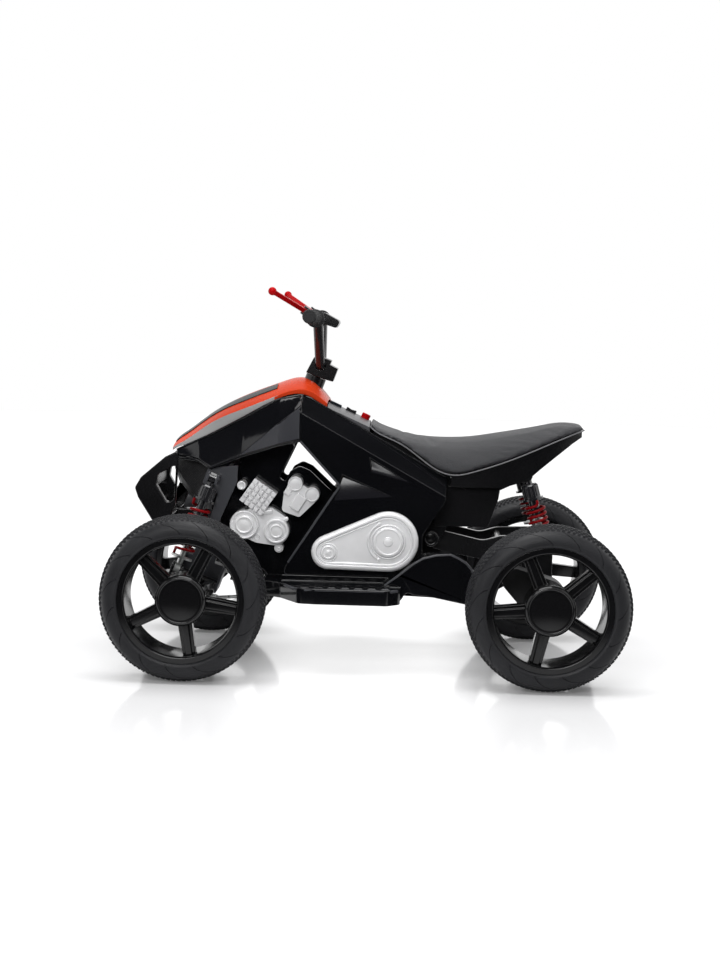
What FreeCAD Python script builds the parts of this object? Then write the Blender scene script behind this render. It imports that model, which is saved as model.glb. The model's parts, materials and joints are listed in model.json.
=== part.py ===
import FreeCAD, Part
import math
import os
import re
import Sketcher
from types import SimpleNamespace
from FreeCAD import Placement, Rotation, Vector

# Driving sizes of the quad bike, in millimetres, degrees and counts.
# X points forward, Y to the rider's left and Z up; the ground is Z = 0.
SIZES = {
    # Stance
    "wheelbase": 700,
    "axle_ahead": 350,
    "track": 560,
    "rake": 20,
    # Clearances
    "running_fit": 0.08,
    "seat_gap": 0.3,
    "side_play": 0.5,
    "hub_play": 1,
    "eye_play": 1,
    "cheek_play": 1.5,
    "switch_play": 0.5,
    # Tyre and rim
    "tyre_radius": 160,
    "tyre_width": 110,
    "tyre_shoulder": 12,
    "tyre_wall": 9,
    "tyre_depth": 39,
    "bead_depth": 7,
    "lip_face": 49,
    "lip_width": 5,
    "tread_lugs": 48,
    "lug_gap": 6,
    "lug_depth": 4,
    "lug_reach": 30,
    "lip_height": 11,
    "rim_draft": 3,
    "spoke_count": 5,
    "front_spoke_turn": -27,
    "rear_spoke_turn": 23,
    "spoke_width": 30,
    "spoke_back": 4,
    "spoke_front": 26,
    "ridge_width": 15,
    "ridge_front": 33,
    "hub_radius": 47,
    "hub_back": 30,
    "hub_front": 38,
    "cap_radius": 49,
    "cap_height": 10,
    "cap_bevel": 4,
    "axle_radius": 8,
    "nut_radius": 13,
    "nut_height": 8,
    "nut_recess": 18,
    # Front arms and knuckles, in the raked front frame
    "kingpin_inset": 75,
    "arm_pivot_y": 30,
    "arm_span": 80,
    "arm_tube_radius": 11,
    "arm_pin_radius": 6,
    "arm_plate": 16,
    "fork_gap": 48,
    "fork_plate": 8,
    "fork_width": 32,
    "fork_room": 4,
    "king_radius": 6,
    "barrel_radius": 13,
    "washer_radius": 20,
    "steer_arm": 55,
    "steer_arm_plate": 8,
    "tie_pin_radius": 4,
    "tie_eye_radius": 9,
    "tie_eye_height": 8,
    "tie_rod_radius": 3.5,
    "tie_step": 17,
    "tie_rise": 2,
    "tie_play": 2,
    # Front cross member and shock towers, in the raked front frame
    "spine_half_width": 17,
    "spine_top": 235,
    "tower_y": 104,
    "tower_plate": 8,
    "ear_plate": 5,
    # Shock absorbers
    "front_shock_x": 39,
    "front_top_y": 130,
    "front_top_z": 218,
    "front_foot_y": 150,
    "front_foot_z": 26,
    "rear_shock_y": 96,
    "rear_top_x": -314,
    "rear_top_z": 396,
    "rear_foot_back": 2,
    "rear_shock_drop": 134,
    "eye_radius": 11,
    "eye_width": 12,
    "shock_pin_radius": 5,
    "neck_radius": 5.8,
    "canister_radius": 17,
    "canister_top": 18,
    "canister_end": 50,
    "canister_flutes": 12,
    "flute_radius": 2.5,
    "spring_seat_radius": 21.5,
    "spring_seat": 4,
    "guide_radius": 9.5,
    "guide_length": 30,
    "guide_bore": 6.4,
    "shock_rod_radius": 5.6,
    "shock_rod_entry": 12,
    "shock_travel": 24,
    "foot_height": 25,
    "spring_radius": 18,
    "wire_radius": 2.75,
    "spring_pitch": 11.3,
    # Swing arm, axle and drive
    "swing_pivot_x": -125,
    "swing_pivot_z": 265,
    "swing_pin_radius": 8,
    "swing_tube_radius": 14,
    "swing_arm_y": 70,
    "swing_plate": 14,
    "cheek_plate": 12,
    "bolt_head": 6,
    "bolt_head_radius": 11,
    "axle_tube_radius": 15,
    "gearbox_inset": 130,
    "gearbox_width": 62,
    "gearbox_radius": 44,
    "motor_radius": 18,
    "motor_length": 58,
    "motor_forward": 62,
    "motor_rise": 40,
    # Steering head
    "column_x": 108,
    "column_z": 604,
    "column_radius": 9,
    "clamp_depth": 36,
    "clamp_width": 52,
    "clamp_top": 17,
    "clamp_bottom": 24,
    "collar_radius": 21,
    "collar_height": 26,
    "collar_gap": 1.5,
    "bar_radius": 10,
    "bar_wall": 2,
    "bar_bend": 24,
    "bar_half_foot": 34,
    "bar_half_shoulder": 118,
    "bar_shoulder_x": 111,
    "bar_shoulder_z": 697,
    "bar_half_end": 236,
    "bar_end_x": 122,
    "bar_end_z": 702,
    "crossbar_radius": 6,
    "crossbar_z": 692,
    "pod_half_width": 46,
    "grip_radius": 14,
    "grip_start": 34,
    "grip_flange": 18,
    "grip_ribs": 7,
    "grip_cap": 5,
    "perch_start": 10,
    "perch_width": 20,
    "perch_plate": 4,
    "lever_pitch": 33,
    "lever_pivot_x": 25,
    "lever_pivot_y": 18,
    "lever_tip_x": 84,
    "lever_tip_y": 134,
    "lever_thickness": 9,
    "lever_boss_radius": 9,
    "lever_ball_radius": 8,
    "lever_pin_radius": 3,
    # Body shells
    "panel_outer": 145,
    "panel_inner": 106,
    "panel_wall": 5,
    "panel_band": 36,
    "panel_floor": 190,
    "tub_half_width": 68,
    "tub_wall": 8,
    "tub_floor": 162,
    "skin": 4,
    "stripe": 2,
    "board_floor": 148,
    "board_top": 178,
    "board_half_width": 250,
    "board_nose": 40,
    "wing_gap": 26,
    "board_ribs": 7,
    "board_rib_pitch": 26,
    "housing_half_width": 98,
    "cushion_half_width": 122,
    "base_half_width": 118,
    "base_tongue": 92,
    "dash_slope": 23.6,
    "bumper_half_width": 118,
    "bumper_bar": 22,
    "engine_depth": 46,
    "cooler": 54,
    "cooler_tilt": 34.6,
    "cooler_fins": 5,
    "fin_gap": 3,
    "fin_depth": 8,
    "belt_cover_depth": 14,
    "battery_length": 150,
    "battery_height": 95,
    "button_radius": 9,
    "rocker_length": 22,
    "rocker_width": 14,
    "pedal_length": 74,
    "pedal_width": 40,
}

doc = FreeCAD.newDocument("QuadBike")
sheet = doc.addObject("Spreadsheet::Sheet", "Sizes")
for row, (alias, value) in enumerate(SIZES.items(), 1):
    sheet.set(f"A{row}", alias)
    sheet.set(f"B{row}", str(value))
    sheet.setAlias(f"B{row}", alias)
doc.recompute()
size = SimpleNamespace(**{alias: float(sheet.get(alias)) for alias in SIZES})

WORD = re.compile(r"[a-z][a-z_]+")
PLAIN_WORDS = ("cos", "sin", "deg")
ALONG = {
    "x": Rotation(Vector(0, 1, 0), 90),
    "y": Rotation(Vector(1, 0, 0), -90),
    "z": Rotation(),
}
BEAD = "(tyre_radius - tyre_depth)"
KINGPIN_Y = "(track / 2 - kingpin_inset)"
NUT_Y = "(track / 2 + hub_front - nut_recess + hub_play)"
EAR_REAR = "(front_shock_x - eye_width / 2 - ear_plate - eye_play)"
EAR_FRONT = "(front_shock_x + eye_width / 2 + eye_play)"
EAR_SPAN = "(eye_width + 2 * ear_plate + 2 * eye_play)"
EAR_EDGE = "(front_shock_x + eye_width + ear_plate)"
INSIDE_TUB = "(tub_half_width - tub_wall - seat_gap)"
BATTERY_TOP = "(tub_floor + tub_wall + seat_gap + battery_height)"
COLUMN_X = "((column_x - axle_ahead) * cos(rake * 1deg) + (column_z - tyre_radius) * sin(rake * 1deg))"
COLUMN_Z = "((axle_ahead - column_x) * sin(rake * 1deg) + (column_z - tyre_radius) * cos(rake * 1deg))"
SPINE_FRONT = 28
HOUSING_FRONT = -130
HOUSING_TOP = 371
ACROSS = Vector(0, 1, 0)
nodes = []


def formula(text):
    """Turn the alias words of a formula into cell references."""
    return WORD.sub(lambda word: word[0] if word[0] in PLAIN_WORDS else "Sizes." + word[0], str(text))


def bind(obj, formulas):
    """Bind properties of an object to formulas of the sheet's sizes."""
    for name, text in formulas.items():
        obj.setExpression(name, formula(text))
    return obj


def node(label, obj):
    """Name a sub-part and list it for writing."""
    obj.Label = label
    nodes.append(obj)
    return obj


def rod(name, axis, radius, length, x=0, y=0, z=0):
    """A cylinder that starts at x, y, z and runs along an axis."""
    obj = doc.addObject("Part::Cylinder", name)
    obj.Placement = Placement(Vector(), ALONG[axis])
    place = {"Placement.Base.x": x, "Placement.Base.y": y, "Placement.Base.z": z}
    return bind(obj, {"Radius": radius, "Height": length, **place})


def block(name, length, width, height, x=0, y=0, z=0):
    """A box from its lowest corner."""
    obj = doc.addObject("Part::Box", name)
    place = {"Placement.Base.x": x, "Placement.Base.y": y, "Placement.Base.z": z}
    return bind(obj, {"Length": length, "Width": width, "Height": height, **place})


def joined(name, parts):
    """Several solids made one."""
    obj = doc.addObject("Part::MultiFuse", name)
    obj.Shapes = parts
    obj.Refine = True
    return obj


def drilled(name, solid, tools):
    """A solid with one or more tools cut from it."""
    obj = doc.addObject("Part::Cut", name)
    obj.Base = solid
    obj.Tool = tools[0] if len(tools) == 1 else joined(name + "_tools", tools)
    obj.Refine = True
    return obj


def mirrored(name, source):
    """The right-hand twin of a left-hand piece."""
    obj = doc.addObject("Part::Mirroring", name)
    obj.Source = source
    obj.Normal = Vector(0, 1, 0)
    return obj


def feature(name, shape, placement=None):
    """A piece shaped by code from the sheet's sizes."""
    obj = doc.addObject("Part::Feature", name)
    obj.Shape = shape
    if placement:
        obj.Placement = placement
    return obj


def in_front_frame(obj):
    """Set a piece in the raked frame that stands at the front axle."""
    obj.Placement = Placement(Vector(), Rotation(Vector(0, 1, 0), -size.rake))
    place = {"Placement.Base.x": "axle_ahead", "Placement.Base.z": "tyre_radius"}
    return bind(obj, {**place, "Placement.Rotation.Angle": "-rake"})


def sketched(body, role, points, start=0):
    """A closed sketch through corner points given as formulas, on one of the body's origin planes."""
    sketch = body.newObject("Sketcher::SketchObject", body.Name + "_sketch")
    plane = next(item for item in body.Origin.OriginFeatures if item.Role == role)
    sketch.AttachmentSupport = [(plane, "")]
    sketch.MapMode = "FlatFace"
    bind(sketch, {"AttachmentOffset.Base.z": start})
    count = len(points)
    rough = [Vector(math.cos(turn), math.sin(turn), 0) * 10 for turn in range(count + 1)]
    sketch.addGeometry([Part.LineSegment(*pair) for pair in zip(rough, rough[1:])], False)
    sketch.addConstraint([Sketcher.Constraint("Coincident", i, 2, (i + 1) % count, 1) for i in range(count)])
    for corner, (across, up) in enumerate(points):
        for kind, text in (("DistanceX", across), ("DistanceY", up)):
            index = sketch.addConstraint(Sketcher.Constraint(kind, -1, 1, corner, 1, 1.0 + corner))
            sketch.setExpression(f"Constraints[{index}]", formula(text))
    return sketch


def padded(name, role, points, start, length):
    """A body made by padding a corner outline."""
    body = doc.addObject("PartDesign::Body", name)
    pad = body.newObject("PartDesign::Pad", name + "_pad")
    pad.Profile = sketched(body, role, points, start)
    bind(pad, {"Length": length})
    body.Tip = pad
    return body


def revolved(name, role, points, axis):
    """A body turned from a half section about one of its sketch's axes."""
    body = doc.addObject("PartDesign::Body", name)
    sketch = sketched(body, role, points)
    turn = body.newObject("PartDesign::Revolution", name + "_turn")
    turn.Profile = sketch
    turn.ReferenceAxis = (sketch, [axis])
    turn.Angle = 360
    body.Tip = turn
    return body


def rounded_wire(corners):
    """A closed wire through (point, radius) corners, with a tangent arc at each rounded one."""
    count = len(corners)
    stops = []
    for i, (point, radius) in enumerate(corners):
        before = (corners[i - 1][0] - point).normalize()
        after = (corners[(i + 1) % count][0] - point).normalize()
        if not radius:
            stops.append((point, None, point))
            continue
        half = before.getAngle(after) / 2
        reach = radius / math.tan(half)
        middle = point + (before + after).normalize() * (radius / math.sin(half) - radius)
        stops.append((point + before * reach, middle, point + after * reach))
    edges = []
    for i, (start, middle, end) in enumerate(stops):
        if middle:
            edges.append(Part.Arc(start, middle, end).toShape())
        following = stops[(i + 1) % count][0]
        if (following - end).Length > 0.001:
            edges.append(Part.LineSegment(end, following).toShape())
    return Part.Wire(edges)


def side_face(corners, y=0.0):
    """A face in a plane seen from the side, through (x, z) or (x, z, radius) corners."""
    return Part.Face(rounded_wire([(Vector(c[0], y, c[1]), c[2] if len(c) > 2 else 0) for c in corners]))


def plan_face(corners, z):
    """A face seen from above, through (x, y) or (x, y, radius) corners."""
    return Part.Face(rounded_wire([(Vector(c[0], c[1], z), c[2] if len(c) > 2 else 0) for c in corners]))


def slab(corners, low, high):
    """A side outline with a thickness from low to high across the bike."""
    return side_face(corners, low).extrude(Vector(0, high - low, 0))


def teardrop(big, big_radius, small, small_radius, low, high):
    """Two rounds in side view joined by their outer tangents, with a thickness across the bike."""
    gap = (small - big).Length
    along = (small - big) / gap
    across = Vector(-along.z, 0, along.x)
    lean = (big_radius - small_radius) / gap
    rise = math.sqrt(1 - lean * lean)
    sides = [along * lean + across * rise, along * lean - across * rise]
    tops = [big + sides[0] * big_radius, small + sides[0] * small_radius]
    feet = [big + sides[1] * big_radius, small + sides[1] * small_radius]
    edges = [
        Part.Arc(feet[0], big - along * big_radius, tops[0]).toShape(),
        Part.LineSegment(tops[0], tops[1]).toShape(),
        Part.Arc(tops[1], small + along * small_radius, feet[1]).toShape(),
        Part.LineSegment(feet[1], feet[0]).toShape(),
    ]
    face = Part.Face(Part.Wire(edges))
    face.translate(Vector(0, low, 0))
    return face.extrude(Vector(0, high - low, 0))


def pipe(points, radius, bend):
    """A bent round bar along straight runs joined by tangent arcs."""
    edges = []
    start = points[0]
    for before, point, after in zip(points, points[1:], points[2:]):
        back = (before - point).normalize()
        ahead = (after - point).normalize()
        half = back.getAngle(ahead) / 2
        reach = bend / math.tan(half)
        middle = point + (back + ahead).normalize() * (bend / math.sin(half) - bend)
        edges.append(Part.LineSegment(start, point + back * reach).toShape())
        edges.append(Part.Arc(point + back * reach, middle, point + ahead * reach).toShape())
        start = point + ahead * reach
    edges.append(Part.LineSegment(start, points[-1]).toShape())
    path = Part.Wire(edges)
    section = Part.Wire(Part.makeCircle(radius, points[0], points[1] - points[0]))
    return path.makePipeShell([section], True, False)


def loft(sections, ruled=False):
    """A solid through closed wires."""
    return Part.makeLoft(sections, True, ruled)


def polygon(points):
    """A closed wire of straight edges."""
    return Part.makePolygon(points + points[:1])


def cut_beyond(solid, low, high, aside, outward):
    """Take off what lies beyond the plane through three points."""
    normal = (high - low).cross(aside - low).normalize()
    if normal.dot(outward) < 0:
        normal = -normal
    reach = 2 * size.wheelbase
    tool = Part.makeBox(reach, reach, reach, Vector(-reach / 2, -reach / 2, 0))
    tool.Placement = Placement(low, Rotation(Vector(0, 0, 1), normal))
    return solid.cut(tool)


def wedge(points):
    """A four-cornered solid, for a shallow three-sided scallop."""
    faces = []
    for left_out in range(4):
        corners = [point for i, point in enumerate(points) if i != left_out]
        faces.append(Part.Face(polygon(corners)))
    solid = Part.Solid(Part.Shell(faces))
    if solid.Volume < 0:
        solid.reverse()
    return solid


def both_sides(shape):
    """A left-hand solid and its mirror image as one group."""
    return Part.makeCompound([shape, shape.mirror(Vector(), Vector(0, 1, 0))])


def front_hub():
    """The middle of the front axle."""
    return Vector(size.axle_ahead, 0, size.tyre_radius)


def rear_hub():
    """The middle of the rear axle."""
    return Vector(size.axle_ahead - size.wheelbase, 0, size.tyre_radius)


# Wheels: a five-spoke rim with its hub cap, and a lugged tyre
def rim():
    """The rim's ring, and its spoked centre with the hub."""
    lip_back = "(lip_face - lip_width)"
    barrel = f"({BEAD} - bead_depth)"
    opening = f"({BEAD} - lip_height)"
    throat = f"({BEAD} - lip_height - rim_draft)"
    profile = [
        (opening, "lip_face"), (BEAD, "lip_face"), (BEAD, lip_back),
        (barrel, lip_back), (barrel, "-" + lip_back), (BEAD, "-" + lip_back),
        (BEAD, "-lip_face"), (opening, "-lip_face"),
        (throat, "-" + lip_back), (throat, lip_back),
    ]
    ring = revolved("rim_barrel", "XY_Plane", profile, "V_Axis")
    body = doc.addObject("PartDesign::Body", "rim_spokes")
    pads = []
    for name, width, back, front in (("spoke", "spoke_width", "spoke_back", "spoke_front"),
                                     ("ridge", "ridge_width", "spoke_front", "ridge_front")):
        half = f"({width} / 2)"
        taper = f"({width} * 0.4)"
        reach = f"({throat} + rim_draft / 2)"
        outline = [("-" + half, 0), (half, 0), (taper, reach), ("-" + taper, reach)]
        pad = body.newObject("PartDesign::Pad", name)
        pad.Profile = sketched(body, "XZ_Plane", outline, "-" + front)
        bind(pad, {"Length": f"{front} - {back}"})
        pads.append(pad)
    fan = body.newObject("PartDesign::PolarPattern", "spokes")
    fan.Originals = pads
    fan.Axis = (pads[0].Profile[0], ["N_Axis"])
    fan.Angle = 360
    bind(fan, {"Occurrences": "spoke_count"})
    body.Tip = fan
    boss = rod("hub_boss", "y", "hub_radius", "hub_back + hub_front", y="-hub_back")
    bore = rod("hub_bore", "y", "axle_radius + running_fit", "hub_back + hub_front", y="-hub_back")
    recess = rod("hub_recess", "y", "nut_radius + seat_gap", "nut_recess", y="hub_front - nut_recess")
    return ring, drilled("rim_centre", joined("rim_hub", [body, boss]), [bore, recess, ring])


def hub_cap():
    """The bevelled disc that closes the hub."""
    back = "(hub_front + seat_gap)"
    front = "(hub_front + cap_height)"
    profile = [(0, back), ("cap_radius", back), ("cap_radius", front + " - cap_bevel"),
               ("cap_radius - cap_bevel", front), (0, front)]
    return revolved("hub_cap", "XY_Plane", profile, "V_Axis")


def tyre():
    """The tyre turned about Y: arcs for crown and walls, open between its beads, with slots between lugs."""
    half = size.tyre_width / 2
    wall = size.tyre_wall
    bead = size.tyre_radius - size.tyre_depth + size.seat_gap
    floor = bead - size.bead_depth
    ledge = size.lip_face - size.lip_width - size.seat_gap
    wall_top = size.tyre_radius - size.tyre_shoulder
    edge = half - size.tyre_shoulder / 2
    inside = [Vector(wall_top - wall / 2, edge - wall, 0), Vector(bead, ledge - wall / 2, 0),
              Vector(floor, ledge - wall, 0)]
    foot = [Vector(floor, ledge, 0), Vector(bead, ledge, 0), Vector(bead, size.lip_face + 1, 0)]
    side = [foot[2], Vector((bead + wall_top) / 2, half, 0), Vector(wall_top, edge, 0)]
    crown = Vector(size.tyre_radius - size.tyre_shoulder / 4, edge - size.tyre_shoulder / 2, 0)

    def flip(points):
        return [Vector(point.x, -point.y, 0) for point in reversed(points)]

    lower = Part.makePolygon(inside + foot)
    upper = Part.makePolygon([side[2], crown])
    edges = lower.Edges + [Part.Arc(*side).toShape()] + upper.Edges
    edges.append(Part.Arc(crown, Vector(size.tyre_radius, 0, 0), flip([crown])[0]).toShape())
    edges += Part.makePolygon(flip([side[2], crown])).Edges + [Part.Arc(*flip(side)).toShape()]
    edges += Part.makePolygon(flip(inside + foot)).Edges
    edges.append(Part.Arc(flip(inside)[-1], Vector(size.tyre_radius - wall, 0, 0), inside[0]).toShape())
    ring = Part.Face(Part.Wire(edges)).revolve(Vector(), Vector(0, 1, 0), 360)
    slots = []
    for turn in range(int(size.tread_lugs)):
        for side in (0, 1):
            corner = Vector(size.tyre_radius - size.lug_depth, half - size.lug_reach, -size.lug_gap / 2)
            if side:
                corner.y = -half - size.lug_depth
            slot = Part.makeBox(2 * size.lug_depth, size.lug_reach + size.lug_depth, size.lug_gap, corner)
            angle = 360 * (turn + side / 2) / size.tread_lugs
            slot.rotate(Vector(), Vector(0, 1, 0), angle)
            slots.append(slot)
    return ring.cut(Part.makeCompound(slots))


def wheels():
    """Four wheels: each a rim with its cap, and a tyre, turned to face outwards."""
    rim_shape = Part.makeCompound([master.Shape for master in rim_masters])
    tyre_shape = tyre()
    axles = (("front", front_hub(), size.front_spoke_turn), ("rear", rear_hub(), size.rear_spoke_turn))
    for end, middle, turn in axles:
        for side, hand in (("left", 1), ("right", -1)):
            hub = middle + Vector(0, hand * size.track / 2, 0)
            facing = Rotation(Vector(0, 0, 1), 0 if hand > 0 else 180)
            spot = Placement(hub, facing.multiply(Rotation(Vector(0, 1, 0), turn)))
            node(f"rim_{end}_{side}", feature("rim_copy", rim_shape, spot))
            node(f"tyre_{end}_{side}", feature("tyre_copy", tyre_shape, spot))


# Front arms, knuckles and tie rods, in the raked front frame
def lower_arm():
    """A wishbone with its pivot tube, kingpin fork and the shock's foot ears."""
    half = "arm_span / 2"
    foot = "front_foot_y"
    fork_back = KINGPIN_Y + " - barrel_radius - fork_room"
    outer = [
        ("-arm_span * 0.45", "arm_pivot_y + 6"), ("arm_span * 0.45", "arm_pivot_y + 6"),
        (EAR_EDGE, foot + " - 14"), (EAR_EDGE, foot + " + 14"),
        ("fork_width / 2", fork_back), ("-fork_width / 2", fork_back),
    ]
    window = [
        ("-arm_span * 0.27", "arm_pivot_y + 22"), ("arm_span * 0.27", "arm_pivot_y + 22"),
        ("arm_span * 0.1", KINGPIN_Y + " - barrel_radius - 34"),
        ("-arm_span * 0.1", KINGPIN_Y + " - barrel_radius - 34"),
    ]
    plate = padded("arm_plate", "XY_Plane", outer, "-arm_plate / 2", "arm_plate")
    hole = padded("arm_window", "XY_Plane", window, "-arm_plate", "2 * arm_plate")
    tube = rod("arm_tube", "x", "arm_tube_radius", "arm_span", "-" + half, "arm_pivot_y")
    bore = rod("arm_bore", "x", "arm_pin_radius + running_fit", "arm_span", "-" + half, "arm_pivot_y")
    reach = "fork_gap / 2 + fork_plate"
    web_y = fork_back + " - 14"
    parts = [plate, tube,
             block("fork_web", "fork_width", "14", f"2 * ({reach})", "-fork_width / 2", web_y, f"-({reach})"),
             rod("king_pin", "z", "king_radius", f"2 * ({reach})", y=KINGPIN_Y, z=f"-({reach})")]
    for name, level in (("low", f"-({reach})"), ("high", "fork_gap / 2")):
        parts.append(block("fork_" + name, "fork_width", "barrel_radius + fork_room + 6", "fork_plate",
                           "-fork_width / 2", fork_back + " - 6", level))
        parts.append(rod("fork_end_" + name, "z", "fork_width / 2", "fork_plate", y=KINGPIN_Y, z=level))
    for name, x in (("rear", EAR_REAR), ("front", EAR_FRONT)):
        parts.append(block("foot_ear_" + name, "ear_plate", "2 * eye_radius", "front_foot_z",
                           x, foot + " - eye_radius", 0))
        parts.append(rod("foot_ear_end_" + name, "x", "eye_radius", "ear_plate", x, foot, "front_foot_z"))
    parts.append(rod("foot_pin", "x", "shock_pin_radius", EAR_SPAN, EAR_REAR, foot, "front_foot_z"))
    return in_front_frame(drilled("arm_left", joined("arm_body", parts), [bore, hole]))


def knuckle():
    """A kingpin barrel with its stub axle and steering arm."""
    half = "(fork_gap / 2 - side_play)"
    hub_in = "(track / 2 - hub_back - hub_play)"
    steer = [("0", KINGPIN_Y + " - 9"), ("0", KINGPIN_Y + " + 9"),
             ("-steer_arm", KINGPIN_Y + " + 7"), ("-steer_arm", KINGPIN_Y + " - 7")]
    level = "(tie_step / 2 - tie_eye_height / 2 - tie_rise - steer_arm_plate)"
    parts = [
        rod("barrel", "z", "barrel_radius", f"2 * {half}", y=KINGPIN_Y, z="-" + half),
        rod("stub_axle", "y", "axle_radius", f"{NUT_Y} + nut_height - {KINGPIN_Y}", y=KINGPIN_Y),
        rod("axle_nut", "y", "nut_radius - 1", "nut_height", y=NUT_Y),
        rod("thrust_washer", "y", "washer_radius", f"{hub_in} - {KINGPIN_Y} - barrel_radius",
            y=KINGPIN_Y + " + barrel_radius"),
        padded("steer_plate", "XY_Plane", steer, level, "steer_arm_plate"),
        rod("steer_end", "z", "tie_eye_radius", "steer_arm_plate", "-steer_arm", KINGPIN_Y, level),
        rod("tie_pin", "z", "tie_pin_radius", "steer_arm_plate + tie_eye_height + 2 * tie_rise",
            "-steer_arm", KINGPIN_Y, level),
    ]
    bore = rod("king_bore", "z", "king_radius + running_fit", f"2 * {half}", y=KINGPIN_Y, z="-" + half)
    return in_front_frame(drilled("knuckle_left", joined("knuckle_body", parts), [bore]))


def tie_rod(side, hand):
    """A tie rod from a knuckle's pin to the pitman pin; the two rods' inner eyes are stacked."""
    frame = Placement(front_hub(), Rotation(Vector(0, 1, 0), -size.rake))
    high = size.tie_step / 2
    outer = Vector(-size.steer_arm, hand * (size.track / 2 - size.kingpin_inset), high)
    inner = Vector(column_local().x - size.steer_arm, 0, high if hand > 0 else -high)
    up = Vector(0, 0, 1)
    lift = up * (size.tie_eye_height / 2)
    run = inner - outer
    bar = Part.makeCylinder(size.tie_rod_radius, run.Length, outer, run)
    eyes = [Part.makeCylinder(size.tie_eye_radius, size.tie_eye_height, point - lift, up)
            for point in (outer, inner)]
    holes = [Part.makeCylinder(size.tie_pin_radius + play, 2 * size.tie_eye_height, point - lift * 2, up)
             for point, play in ((outer, size.running_fit), (inner, size.tie_play))]
    shape = bar.multiFuse(eyes).cut(Part.makeCompound(holes)).removeSplitter()
    return feature("tie_rod_" + side, shape, frame)


def column_local():
    """The steering column's bar centre in the raked front frame."""
    rake = math.radians(size.rake)
    back = Vector(size.column_x - size.axle_ahead, 0, size.column_z - size.tyre_radius)
    return Vector(back.x * math.cos(rake) + back.z * math.sin(rake), 0,
                  back.z * math.cos(rake) - back.x * math.sin(rake))


def cross_member():
    """The front spine with its arm brackets, shock towers, cross plates and column bearing."""
    spine = "spine_half_width"
    pivots = "arm_span / 2 + side_play"
    parts = [block("spine", SPINE_FRONT + 20, f"2 * {spine}", "spine_top + 14", -20, f"-{spine}", -14)]
    for name, x in (("rear", f"-({pivots}) - ear_plate"), ("front", pivots)):
        parts.append(block("arm_bracket_" + name, "ear_plate", "2 * arm_pivot_y + 24", "56",
                           x, "-arm_pivot_y - 12", -14))
    parts.append(block("spine_foot", f"2 * ({pivots})", f"2 * {spine}", "54",
                       f"-({pivots})", f"-{spine}", -14))
    parts.append(block("tower_bridge", "6", "2 * tower_y", "45", "22", "-tower_y", "spine_top - 45"))
    parts.append(block("tub_bridge", "30", "2 * " + INSIDE_TUB, "56", -40, "-" + INSIDE_TUB, 92))
    for hand, sign in (("left", ""), ("right", "-")):
        side = "tower_y" if sign == "" else "-tower_y - tower_plate"
        outline = [(20, "spine_top - 46"), (EAR_EDGE, "spine_top - 36"),
                   (EAR_EDGE, "spine_top - 4"), (2, "spine_top + 22"),
                   (-8, "spine_top - 10"), (-2, "spine_top - 120"), (14, "spine_top - 122")]
        start = "-tower_y - tower_plate" if sign == "" else "tower_y"
        parts.append(padded("tower_" + hand, "XZ_Plane", outline, start, "tower_plate"))
        for name, x in (("rear", EAR_REAR), ("front", EAR_FRONT)):
            depth = "front_top_y - tower_y + eye_radius"
            y = "tower_y" if sign == "" else f"-tower_y - ({depth})"
            parts.append(block(f"top_ear_{name}_{hand}", "ear_plate", depth, "2 * eye_radius - 2",
                               x, y, "front_top_z - eye_radius"))
    parts.append(block("bearing_arm", f"-({pivots}) - {COLUMN_X}", "24", "18", COLUMN_X, -12, "38"))
    parts.append(rod("bearing_ring", "z", "column_radius + 8", "18", COLUMN_X, 0, "38"))
    tools = [rod("bearing_bore", "z", "column_radius + running_fit", "18", COLUMN_X, 0, "38")]
    for hand, sign in (("left", ""), ("right", "-")):
        tools.append(rod("arm_pin_hole_" + hand, "x", "arm_pin_radius + running_fit", "2 * arm_span",
                         "-arm_span", sign + "arm_pivot_y"))
        tools.append(rod("top_pin_hole_" + hand, "x", "shock_pin_radius + running_fit", "arm_span",
                         "front_shock_x - arm_span / 2", sign + "front_top_y", "front_top_z"))
    return in_front_frame(drilled("cross_member", joined("cross_member_body", parts), tools))


# Shock absorbers: canister body, rod and coil spring, each drawn hanging from its top eye
def shock_body(name):
    """The fluted canister with its top eye, upper spring seat and rod guide."""
    fall = "-(canister_end + guide_length)"
    roof = "-(canister_end - shock_travel)"
    profile = [
        ("guide_bore", fall), ("guide_radius", fall), ("guide_radius", "-canister_end"),
        ("spring_seat_radius", "-canister_end"), ("spring_seat_radius", "-canister_end + spring_seat"),
        ("canister_radius", "-canister_end + spring_seat"), ("canister_radius", "-canister_top - 3"),
        ("canister_radius - 3", "-canister_top"), ("neck_radius", "-canister_top"), ("neck_radius", 0),
        (0, 0), (0, roof), ("guide_bore", roof),
    ]
    turned = revolved(name + "_turned", "XZ_Plane", profile, "V_Axis")
    eye = rod(name + "_eye", "x", "eye_radius", "eye_width", "-eye_width / 2")
    tools = [rod(name + "_bore", "x", "shock_pin_radius + running_fit", "eye_width", "-eye_width / 2")]
    run = "canister_end - spring_seat - canister_top - 8"
    for turn in range(int(size.canister_flutes)):
        angle = f"({turn} * 360 / canister_flutes) * 1deg"
        tools.append(rod(f"{name}_flute", "z", "flute_radius", run,
                         f"(canister_radius + 1) * cos({angle})", f"(canister_radius + 1) * sin({angle})",
                         "-canister_end + spring_seat + 3"))
    return drilled(name, joined(name + "_blank", [turned, eye]), tools)


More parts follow.
